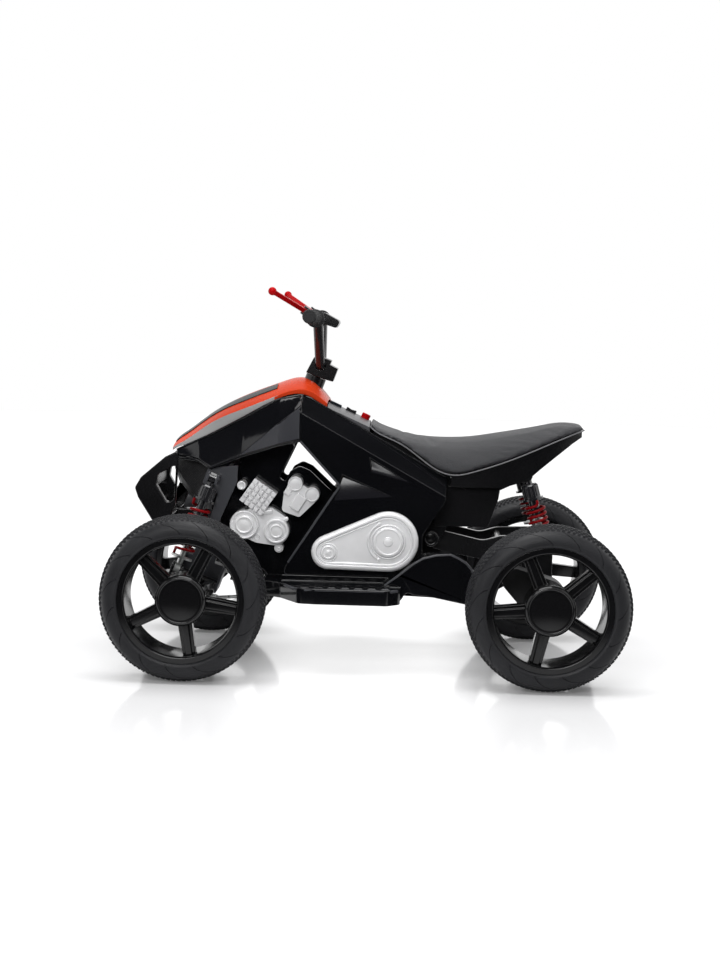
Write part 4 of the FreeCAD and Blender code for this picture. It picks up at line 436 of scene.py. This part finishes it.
def tyre_mesh(radius, half, bead):
    """A tyre about the origin: carcass with sidewall grooves that sweep back, and its knobs."""
    section = tyre_section(radius, half, bead)
    far = [Vector((0, -p.x, p.y)) for p in reversed(section[1:])]
    line = far + [Vector((0, p.x, p.y)) for p in section]
    bm = bmesh.new()
    verts = [bm.verts.new(point) for point in line]
    edges = [bm.edges.new(ends) for ends in zip(verts, verts[1:])]
    steps = SWEEPS * COLUMNS
    bmesh.ops.spin(bm, geom=verts + edges, cent=(0, 0, 0), axis=ACROSS, angle=2 * math.pi, steps=steps,
                   use_merge=True)
    sector = 2 * math.pi / SWEEPS
    top = radius - KNOB_RISE - CROWN_FALL
    for vert in bm.verts:
        out = math.hypot(vert.co.x, vert.co.z)
        turn = math.atan2(vert.co.x, vert.co.z) % (2 * math.pi)
        column = round(turn / (sector / COLUMNS))
        share = (column % COLUMNS) / COLUMNS
        drop = min(1.0, max(0.0, (top - out) / (top - bead)))
        turn = sector * (column // COLUMNS + share + GATHER * math.sin(2 * math.pi * share) / (2 * math.pi))
        turn += SWEEP_TURN * (1 - drop) ** 2
        if column % COLUMNS == 0:
            sink = GROOVE * min(1.0, 4 * drop, 6 * max(0.0, 0.92 - drop))
            vert.co.y -= math.copysign(sink, vert.co.y)
            out -= sink * (1 - drop) * 0.6
        vert.co.x = out * math.sin(turn)
        vert.co.z = out * math.cos(turn)
    bmesh.ops.recalc_face_normals(bm, faces=bm.faces)
    for row, across in enumerate(KNOB_ROWS):
        fall = (across / CROWN_HALF) ** 2 * CROWN_FALL
        for count in range(KNOB_COUNT):
            turn = 2 * math.pi * (count + row % 2 / 2) / KNOB_COUNT
            seat = (0, across, radius - KNOB_RISE / 2 - fall - KNOB_SINK)
            spot = Matrix.Rotation(turn, 4, "Y") @ Matrix.Translation(seat)
            shape = Matrix.Diagonal((*KNOB_HALF, 1, 1)) @ Matrix.Rotation(math.pi / 4, 4, "Z")
            bmesh.ops.create_cone(bm, cap_ends=True, segments=4, radius1=KNOB_FOOT, radius2=KNOB_TOP,
                                  depth=KNOB_RISE + KNOB_ROOT, matrix=spot @ shape)
    return bm


def tyres():
    """One moulded tyre, set down at each wheel."""
    low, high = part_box("tyre_front_left")
    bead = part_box("rim_front_left")[1].z - (low.z + high.z) / 2 + 0.0003
    bm = tyre_mesh((high.z - low.z) / 2, (high.y - low.y) / 2, bead)
    master = bpy.data.meshes.new("tyre")
    bm.to_mesh(master)
    bm.free()
    for node in four("tyre"):
        low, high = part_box(node)
        mesh = master.copy()
        mesh.transform(Matrix.Translation((low + high) / 2))
        obj = dress(bpy.data.objects.new(node + "_moulded", mesh), "tyre_black", BODY_OF[node])
        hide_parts(node)


# Seat: a swollen cover over foam, with piping round its lower edge in a light grey that paints in the highlight on
# that edge
VOXEL = 0.005
SWELL = 0.005
TUCK = 0.003
TONGUE = 0.0
TAIL = -0.43
THINNING = 0.06
PRESSURE = 4
CLOTH_STEPS = 20
WELT = 0.0013


def fullness(point):
    """How full the padding is at a point: it thins out in the tongue at the front and at the tail."""
    return min(1.0, max(0.0, min(TONGUE - point.x, point.x - TAIL) / THINNING))


def remeshed(obj, voxel):
    """An object's mesh rebuilt with even small faces."""
    even = obj.modifiers.new("even", "REMESH")
    even.mode = "VOXEL"
    even.voxel_size = voxel
    graph = bpy.context.evaluated_depsgraph_get()
    mesh = bpy.data.meshes.new_from_object(obj.evaluated_get(graph))
    obj.modifiers.clear()
    return mesh


def swollen(obj):
    """Blow the cover up as cloth, hold its underside and keep each point near its pattern."""
    rest = [vert.co.copy() for vert in obj.data.vertices]
    held = obj.vertex_groups.new(name="underside")
    held.add([v.index for v in obj.data.vertices if v.normal.z < -0.3], 1.0, "REPLACE")
    cloth = obj.modifiers.new("swell", "CLOTH")
    cloth.settings.use_pressure = True
    cloth.settings.uniform_pressure_force = PRESSURE
    cloth.settings.effector_weights.gravity = 0
    cloth.settings.vertex_group_mass = held.name
    scene = bpy.context.scene
    for step in range(1, CLOTH_STEPS + 1):
        scene.frame_set(step)
    graph = bpy.context.evaluated_depsgraph_get()
    blown = [vert.co.copy() for vert in obj.evaluated_get(graph).data.vertices]
    obj.modifiers.clear()
    scene.frame_set(1)
    for vert, start, end in zip(obj.data.vertices, rest, blown):
        move = end - start
        most = SWELL * max(0.15, fullness(start))
        if move.length > most:
            move = move.normalized() * most
        vert.co = start + move
    obj.vertex_groups.clear()


def cushion():
    """The seat's cover: the foam's outline drawn in, then blown up as cloth."""
    bm = copied("seat_cushion")
    bmesh.ops.recalc_face_normals(bm, faces=bm.faces)
    for vert in bm.verts:
        vert.co -= vert.normal * TUCK * fullness(vert.co)
    mesh = bpy.data.meshes.new("seat_foam")
    bm.to_mesh(mesh)
    bm.free()
    pattern = bpy.data.objects.new("seat_foam", mesh)
    bpy.context.scene.collection.objects.link(pattern)
    cover = remeshed(pattern, VOXEL)
    bpy.data.objects.remove(pattern)
    obj = bpy.data.objects.new("seat_cushion_cover", cover)
    bpy.context.scene.collection.objects.link(obj)
    swollen(obj)
    bpy.context.scene.collection.objects.unlink(obj)
    dress(obj, "seat_hide", "chassis")
    obj.modifiers.clear()
    smooth = obj.modifiers.new("smooth", "SUBSURF")
    smooth.levels = smooth.render_levels = 1
    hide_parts("seat_cushion")


def lower_rim(node):
    """The points round a cushion's lower edge, in order."""
    bm = copied(node)
    bm.normal_update()
    rim = [e for e in bm.edges if len(e.link_faces) == 2
           and min(f.normal.z for f in e.link_faces) < -0.6 and max(f.normal.z for f in e.link_faces) > -0.35]
    ahead = {}
    for edge in rim:
        for vert in edge.verts:
            ahead.setdefault(vert, []).append(edge)
    start = rim[0].verts[0]
    points, used, vert = [], set(), start
    while True:
        points.append(vert.co.copy())
        following = [e for e in ahead[vert] if e not in used]
        if not following:
            break
        used.add(following[0])
        vert = following[0].other_vert(vert)
        if vert == start:
            break
    bm.free()
    return points


def tube(bm, points, radius, closed=False):
    """A round bead along points, added to a bmesh."""
    curve = bpy.data.curves.new("bead", "CURVE")
    curve.dimensions = "3D"
    curve.bevel_depth = radius
    curve.bevel_resolution = 3
    curve.use_fill_caps = not closed
    spline = curve.splines.new("POLY")
    spline.points.add(len(points) - 1)
    for spot, point in zip(spline.points, points):
        spot.co = (*point, 1)
    spline.use_cyclic_u = closed
    line = bpy.data.objects.new("bead", curve)
    bpy.context.scene.collection.objects.link(line)
    graph = bpy.context.evaluated_depsgraph_get()
    mesh = bpy.data.meshes.new_from_object(line.evaluated_get(graph))
    bpy.data.objects.remove(line)
    bm.from_mesh(mesh)
    bpy.data.meshes.remove(mesh)


def piping():
    """A thin welt sewn in along the cushion's lower edge, in a light grey that paints in the highlight along that
    edge.
    """
    bm = bmesh.new()
    tube(bm, lower_rim("seat_cushion"), WELT, closed=True)
    piece("seat_piping", bm, "piping", "chassis", "seat_hide")


# Springs: the coil wire
PINS = {joint["name"]: Vector(joint["pos_m"]) for joint in frame["joints"] if "pos_m" in joint}


def coil(node):
    """A spring between two pins, as a merged copy of its coil wire."""
    bm = bmesh.new()
    bm.from_mesh(frame["nodes"][node].data)
    bmesh.ops.remove_doubles(bm, verts=bm.verts, dist=MERGE)
    obj = piece(node + "_coil", bm, "spring_red", BODY_OF[node])
    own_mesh(obj)
    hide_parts(node)


def springs():
    """The front and rear coils."""
    for side in ("left", "right"):
        coil("front_spring_" + side)
    coil("rear_springs")


# Nose cover: orange shell with a light grey along the front of its skirts, a painted reflection of the white
# surroundings
PAINTED_REFLECTION_FROM = 0.19
COVER_EDGE = 0.0008


def nose_cover():
    """The orange cover with its skirts' front ends in a grey that paints in a reflection."""
    obj = rounded("nose_cover", COVER_EDGE, "orange")
    obj.data.materials.append(FINISH["skirt_painted_reflection"])
    # Side-facing faces at the front of the skirts take the painted reflection grey
    for face in obj.data.polygons:
        if abs(face.normal.y) > 0.7 and face.center.x > PAINTED_REFLECTION_FROM:
            face.material_index = 1


# Turned and cast relief on the engines, belt covers and wheels, in millimetres from its centre
MM = 0.001
TURNED_STEPS = 48
# How far a turned profile starts below the face it stands on, and the radius of its closed middle
SUNK = 0.5
CORE = 0.02


def lathe(bm, centre, hand, profile):
    """A closed (radius, out) profile turned about an axis across the bike."""
    verts = [bm.verts.new(centre + Vector((radius, hand * out, 0)) * MM) for radius, out in profile]
    edges = [bm.edges.new(ends) for ends in zip(verts, verts[1:] + verts[:1])]
    bmesh.ops.spin(bm, geom=verts + edges, cent=centre, axis=ACROSS, angle=2 * math.pi, steps=TURNED_STEPS,
                   use_merge=True)


def bead(inner, outer, base, rise):
    """The profile of a half-round ring that stands on a face."""
    middle, half = (inner + outer) / 2, (outer - inner) / 2
    arch = [math.pi * step / 8 for step in range(9)]
    crest = [(middle + half * math.cos(turn), base + rise * math.sin(turn)) for turn in arch]
    return [(outer, base - SUNK), *crest, (inner, base - SUNK)]


def dome(radius, base, rise):
    """The profile of a crowned disc with a rounded edge that stands on a face."""
    share = [step / 6 for step in range(7)]
    swell = [0.55 + 0.45 * math.sin(s * math.pi / 2) for s in share]
    crest = [(radius * (1 - s) + CORE, base + rise * high) for s, high in zip(share, swell)]
    return [(radius, base - SUNK), (radius, base + rise * 0.3), *crest, (CORE, base - SUNK)]


def closed_work(bm):
    """Merge turned pieces' seams and face them outwards."""
    bmesh.ops.remove_doubles(bm, verts=bm.verts, dist=MERGE)
    bmesh.ops.recalc_face_normals(bm, faces=bm.faces)
    return bm


# Engine rounds: x and z of the centre, then the rings and domes on it, out from the engine's face
ENGINE_ROUNDS = (
    (250, 283, (bead(24, 29, -8, 3.2), bead(13.5, 18, -3, 1.6), dome(9, -3, 1.2))),
    (185, 272, (bead(18.5, 26, -6, 5.0), bead(10, 14, 0, 1.4), dome(7, 0, 0.8))),
    (149, 368, (bead(11.5, 15, -10, 2.4), dome(10, -10, 1.6))),
    (115, 347, (bead(11.5, 15, -10, 2.4), dome(10, -10, 1.6))),
    (257, 362, (bead(4.5, 9, -6, 2.2),)),
    (224, 258, (bead(3, 7.5, -18, 3.0), dome(3.4, -18, 2.2))),
    (180, 236, (bead(3, 7.5, -18, 3.0), dome(3.4, -18, 2.2))),
    (262, 262, (dome(4.2, -16, 2.6),)),
    (268, 300, (dome(4.2, -16, 2.6),)),
    (166, 296, (dome(4.2, -16, 2.6),)),
    (118, 333, (dome(3.6, -14, 2.4),)),
)
# Raised pads on the intake: centre x and z, length, width, turn, foot and rise
ENGINE_PADS = (
    (143, 330, 34, 23, 58, -14, 6.5),
    (163, 352, 18, 14, 58, -14, 4.0),
    (206, 309, 26, 9, 8, -16, 5.0),
)
PAD_EDGE = 3
PAD_ROOT = 2
BELT_BIG, BELT_SMALL = Vector((-40, 262)), Vector((78, 238))
BELT_ROUNDS = (
    (*BELT_BIG, (bead(31, 35.5, -6, 3.6), bead(23.5, 28, -1, 1.3), dome(6.5, 1, 1.6))),
    (*BELT_SMALL, (bead(15.5, 19, -6, 3.0), bead(10, 13, -2, 1.2), dome(5, -2, 1.6))),
)


def pad(bm, x, z, length, width, turn, foot, rise, face, hand):
    """A rounded block that stands on the engine's face."""
    depth = rise + PAD_ROOT
    spot = Matrix.Translation((x * MM, hand * (face + (foot + rise - depth / 2) * MM), z * MM))
    shape = Matrix.Diagonal((length * MM, depth * MM, width * MM, 1))
    lean = Matrix.Rotation(math.radians(turn), 4, "Y")
    made = bmesh.ops.create_cube(bm, size=1, matrix=spot @ lean @ shape)
    edges = list({edge for vert in made["verts"] for edge in vert.link_edges})
    bevelled(bm, edges, PAD_EDGE * MM, segments=4, clamp=True)


def engine_relief():
    """Rings, domes and pads on both engines."""
    bm = bmesh.new()
    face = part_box("dummy_engines")[1].y
    for hand in (1, -1):
        for x, z, profiles in ENGINE_ROUNDS:
            for profile in profiles:
                lathe(bm, Vector((x * MM, hand * face, z * MM)), hand, profile)
        for values in ENGINE_PADS:
            pad(bm, *values, face, hand)
    piece("engine_castings", closed_work(bm), "silver", "chassis")


def teardrop(big_radius, small_radius, out):
    """Points round a teardrop about the belt's two centres."""
    gap = BELT_SMALL - BELT_BIG
    heading = math.atan2(gap.y, gap.x)
    lean = math.acos((big_radius - small_radius) / gap.length)
    points = []
    for centre, radius, start, end in ((BELT_SMALL, small_radius, -lean, lean),
                                       (BELT_BIG, big_radius, lean, 2 * math.pi - lean)):
        for step in range(33):
            turn = heading + start + (end - start) * step / 32
            spot = centre + Vector((math.cos(turn), math.sin(turn))) * radius
            points.append(Vector((spot.x * MM, out, spot.y * MM)))
    return points


BOW = 40
BELT_ROLL = 7 * MM
BELT_CRISP = 1.2 * MM


def nearest_on_belt(point):
    """The spot on the line between the belt's two centres that is nearest to a point."""
    start, run = BELT_BIG * MM, (BELT_SMALL - BELT_BIG) * MM
    share = (Vector((point.x, point.z)) - start).dot(run) / run.length_squared
    return start + run * min(1.0, max(0.0, share))


def belt_covers():
    """The belt covers with a broad rolled rim that catches the light above and falls dark below."""
    bm = copied("belt_covers")
    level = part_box("belt_covers")[1].y - MM
    rim = []
    for edge in bm.edges:
        walls = [face for face in edge.link_faces if abs(face.normal.y) < 0.3]
        if len(walls) != 1 or any(abs(abs(vert.co.y) - level) > 0.1 * MM for vert in edge.verts):
            continue
        middle = (edge.verts[0].co + edge.verts[1].co) / 2
        spot = nearest_on_belt(middle)
        if walls[0].normal.dot(Vector((middle.x - spot.x, 0, middle.z - spot.y))) > 0.03:
            rim.append(edge)
    bevelled(bm, rim, BELT_ROLL, segments=6)
    bevelled(bm, crisp_edges(bm), BELT_CRISP)
    obj = piece("belt_covers_finished", bm, "silver", BODY_OF["belt_covers"])
    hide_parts("belt_covers")


def belt_relief():
    """Rings, a bead round the recess and a bow beside the large pulley on both belt covers."""
    bm = bmesh.new()
    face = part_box("belt_covers")[1].y - MM
    for hand in (1, -1):
        for x, z, profiles in BELT_ROUNDS:
            for profile in profiles:
                lathe(bm, Vector((x * MM, hand * face, z * MM)), hand, profile)
        tube(bm, teardrop(46.5, 20.5, hand * (face - 5.4 * MM)), 2.2 * MM, closed=True)
        turns = [math.radians(-62 + 4 * step) for step in range(32)]
        bow = [Vector((BELT_BIG.x + BOW * math.cos(turn), 0, BELT_BIG.y + BOW * math.sin(turn))) * MM
               for turn in turns]
        tube(bm, [point + ACROSS * hand * (face - 4.6 * MM) for point in bow], 2.6 * MM)
        for end in (bow[0], bow[-1]):
            lathe(bm, Vector((end.x, hand * face, end.z)), hand, dome(4.0, -6, 4.6))
    piece("belt_castings", closed_work(bm), "silver", "chassis")


CAP_RELIEF = (bead(40.5, 45, 48, 1.5), dome(37, 48, 2.2))


def hub_caps():
    """A crowned cap on each wheel's hub."""
    for node in four("rim"):
        low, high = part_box(node)
        bm = bmesh.new()
        centre = (low + high) / 2
        for profile in CAP_RELIEF:
            lathe(bm, centre, math.copysign(1, centre.y), profile)
        piece(node.replace("rim", "hub_cap"), closed_work(bm), "rim_black", BODY_OF[node])


PIVOT = PINS["rear_suspension"]
PIVOT_CUP = (bead(9, 16.5, -2.4, 4.0), dome(12, -2.4, 3.6))


def pivot_cups():
    """Black cups over the ends of the swing arm's bolt."""
    bm = bmesh.new()
    bolts = [vert.co for vert in frame["nodes"]["pivot_bolts"].data.vertices]
    end = max(co.y for co in bolts if co.x < -0.1 and co.z < 0.3)
    for hand in (1, -1):
        for profile in PIVOT_CUP:
            lathe(bm, Vector((PIVOT.x, hand * end, PIVOT.z)), hand, profile)
    piece("pivot_cups", closed_work(bm), "frame_black", "chassis")


# Rolled edges: side panels' tops, wings' lower lips and front edges, footboards and their rear wings; the front,
# board and wing edges are in a lighter satin that paints a highlight line along them
PANEL_EDGE = ((392, 71, 428), (345, 87, 451), (318, 93, 463), (257, 103, 497), (186, 106, 537),
              (141, 106, 546), (122, 106, 540), (108, 106, 532), (-150, 106, 390.5))
LIP_EDGE = ((140, 141, 458), (186, 129, 446), (257, 127, 423), (318, 117, 397), (345, 101, 410),
            (392, 72, 413))
FRONT_EDGE = ((139, 144, 456), (63, 144, 375), (59.5, 144, 370), (61, 144, 365), (72, 144, 349),
              (158, 144, 214))
BOARD_EDGE = ((164, 181, 175), (141, 231, 175), (118, 244, 175), (98, 247, 175), (-34, 247, 175),
              (-48, 240, 175), (-60, 228, 175))
WING_EDGE = ((-36, 197, 181), (-62, 197, 201), (-90, 197, 224), (-109, 197, 236), (-135, 197, 243),
             (-163, 197, 245), (-180, 197, 237.5), (-194, 197, 229), (-204, 197, 217), (-209, 197, 204),
             (-206, 197, 172))


ROLLED = (
    ("rolled_edges", "body_black", ((PANEL_EDGE, 2.0), (LIP_EDGE, 4.0))),
    # The satin beads are lighter than the body: a painted highlight along the front, board and wing edges
    ("painted_highlight_edges", "facet_satin", ((FRONT_EDGE, 2.4), (BOARD_EDGE, 3.2), (WING_EDGE, 2.6))),
)


def rolled_edges():
    """Round beads along the body's edges, in gloss and in a lighter satin that paints a highlight line."""
    for name, finish, runs in ROLLED:
        bm = bmesh.new()
        for hand in (1, -1):
            for run, radius in runs:
                tube(bm, [Vector((x, hand * y, z)) * MM for x, y, z in run], radius * MM)
        piece(name, closed_work(bm), finish, "chassis", "body_black")


tyres()
cushion()
piping()
springs()
nose_cover()
engine_relief()
belt_covers()
belt_relief()
hub_caps()
pivot_cups()
rolled_edges()

# The other CAD nodes keep their own meshes and take their slot's finish
for obj in frame["nodes"].values():
    for slot in obj.material_slots:
        slot.material = FINISH[slot.material.name.split(".")[0]]


# Studio: pale floor, white surroundings, two softboxes and dark cloths that only gloss sees
FLOOR_ROUGH = 0.10
FLOOR_LIFT = (0.10, 0.42)
LIFT_REACH = (0.5, 1.5)
# Across the middle the floor is lifted fully: painted light over the shadow between the wheels
PAINTED_LIGHT_MIDDLE = (0.10, 0.30)
DARK_FRONT = (0.75, 1.1)
FILL = 0.14
SOFTBOXES = (
    ("overhead_softbox", (0, 0.3, 2.2), (0, 0, 0), 3.0, 2.0, 62),
    ("front_softbox", (0.5, 3.0, 1.65), (0, 0.2, 0.3), 1.6, 1.0, 36),
)
CAMERA_PLACE = (-0.0467, 3.631, 0.698)
CAMERA_TURN = (84.83, -1.474, 181.214)
CAMERA_LENS = 66.36
CAMERA_SENSOR = 36


def studio_object(name, bm):
    """A mesh object of the studio, in the scene."""
    mesh = bpy.data.meshes.new(name)
    bm.to_mesh(mesh)
    bm.free()
    obj = bpy.data.objects.new(name, mesh)
    bpy.context.scene.collection.objects.link(obj)
    return obj


def floor():
    """A white floor that is lifted to the eye away from the wheels and between them, where the lift paints light
    over the shadow, and dark to gloss far in front.
    """
    bm = bmesh.new()
    bmesh.ops.create_circle(bm, cap_ends=True, segments=64, radius=9)
    obj = studio_object("studio_floor", bm)
    paint = Paint("floor_white")
    tone = paint.noise(1.5, 2) * 0.01 + FLOOR_ROUGH
    glossy = paint.node("LightPath", out="Is Glossy Ray")
    dark = glossy * paint.axis(1).over(*DARK_FRONT)
    reach = paint.node("VectorMath", {"operation": "LENGTH"}, {0: paint.place()}, out="Value")
    away = reach.over(*LIFT_REACH)
    # Full lift between the wheels paints light over the bike's shadow there
    between = 1 - paint.axis(0).math("ABSOLUTE").over(*PAINTED_LIGHT_MIDDLE)
    away = away.math("MAXIMUM", between)
    near, far = FLOOR_LIFT
    lift = paint.node("LightPath", out="Is Camera Ray") * (away * (far - near) + near)
    white = paint.skin((0.93, 0.93, 0.94), tone, glow=lift, glow_strength=1.0)
    black = paint.node("BsdfDiffuse", sockets={"Color": (0.004, 0.004, 0.005, 1)})
    obj.data.materials.append(paint.done(paint.node("MixShader", sockets={0: dark, 1: white, 2: black})))


CURTAINS = (
    ((-5, 4.5, 0), (5, 4.5, 0), (5, 4.5, 1.9), (-5, 4.5, 1.9)),
    ((-1.6, -1.2, 2.1), (-0.55, -1.2, 2.1), (-0.55, 2.2, 2.1), (-1.6, 2.2, 2.1)),
    ((0.75, -1.2, 2.1), (2.4, -1.2, 2.1), (2.4, 2.2, 2.1), (0.75, 2.2, 2.1)),
)


def dark_curtains():
    """Black cloths behind the camera and over the body that only the bike's gloss sees."""
    bm = bmesh.new()
    for corners in CURTAINS:
        bm.faces.new([bm.verts.new(corner) for corner in corners])
    obj = studio_object("dark_curtains", bm)
    paint = Paint("curtain_black")
    weave = paint.noise(40, 2) * 0.1 + 0.85
    obj.data.materials.append(paint.coat((0.004, 0.004, 0.005), weave, specular=0.0))
    for ray in ("camera", "diffuse", "shadow", "transmission", "volume_scatter"):
        setattr(obj, "visible_" + ray, False)


def surroundings():
    """White to the eye and in reflections, dimmer as light on the object."""
    world = bpy.data.worlds.new("white_studio")
    world.use_nodes = True
    bpy.context.scene.world = world
    paint = Paint("white_studio", world.node_tree)
    seen = paint.node("LightPath", out="Is Camera Ray")
    for ray in ("Is Glossy Ray", "Is Transmission Ray"):
        seen = seen.math("MAXIMUM", paint.node("LightPath", out=ray))
    strength = seen * (1 - FILL) + FILL
    shader = paint.node("Background", sockets={"Color": (1, 1, 1, 1), "Strength": strength})
    paint.node("OutputWorld", sockets={"Surface": shader})


def softbox(name, place, target, width, depth, watts):
    """A rectangular area light that faces a target."""
    light = bpy.data.lights.new(name, "AREA")
    light.shape = "RECTANGLE"
    light.size = width
    light.size_y = depth
    light.energy = watts
    obj = bpy.data.objects.new(name, light)
    obj.location = place
    obj.rotation_euler = (Vector(target) - Vector(place)).to_track_quat("-Z", "Y").to_euler()
    bpy.context.scene.collection.objects.link(obj)


def camera():
    """The photograph's viewpoint."""
    lens_data = bpy.data.cameras.new("photo_camera")
    lens_data.lens = CAMERA_LENS
    lens_data.sensor_width = CAMERA_SENSOR
    obj = bpy.data.objects.new("photo_camera", lens_data)
    obj.location = CAMERA_PLACE
    obj.rotation_euler = [math.radians(turn) for turn in CAMERA_TURN]
    bpy.context.scene.collection.objects.link(obj)
    bpy.context.scene.camera = obj


floor()
surroundings()
for values in SOFTBOXES:
    softbox(*values)
dark_curtains()
camera()
bpy.context.scene.view_settings.view_transform = "Standard"
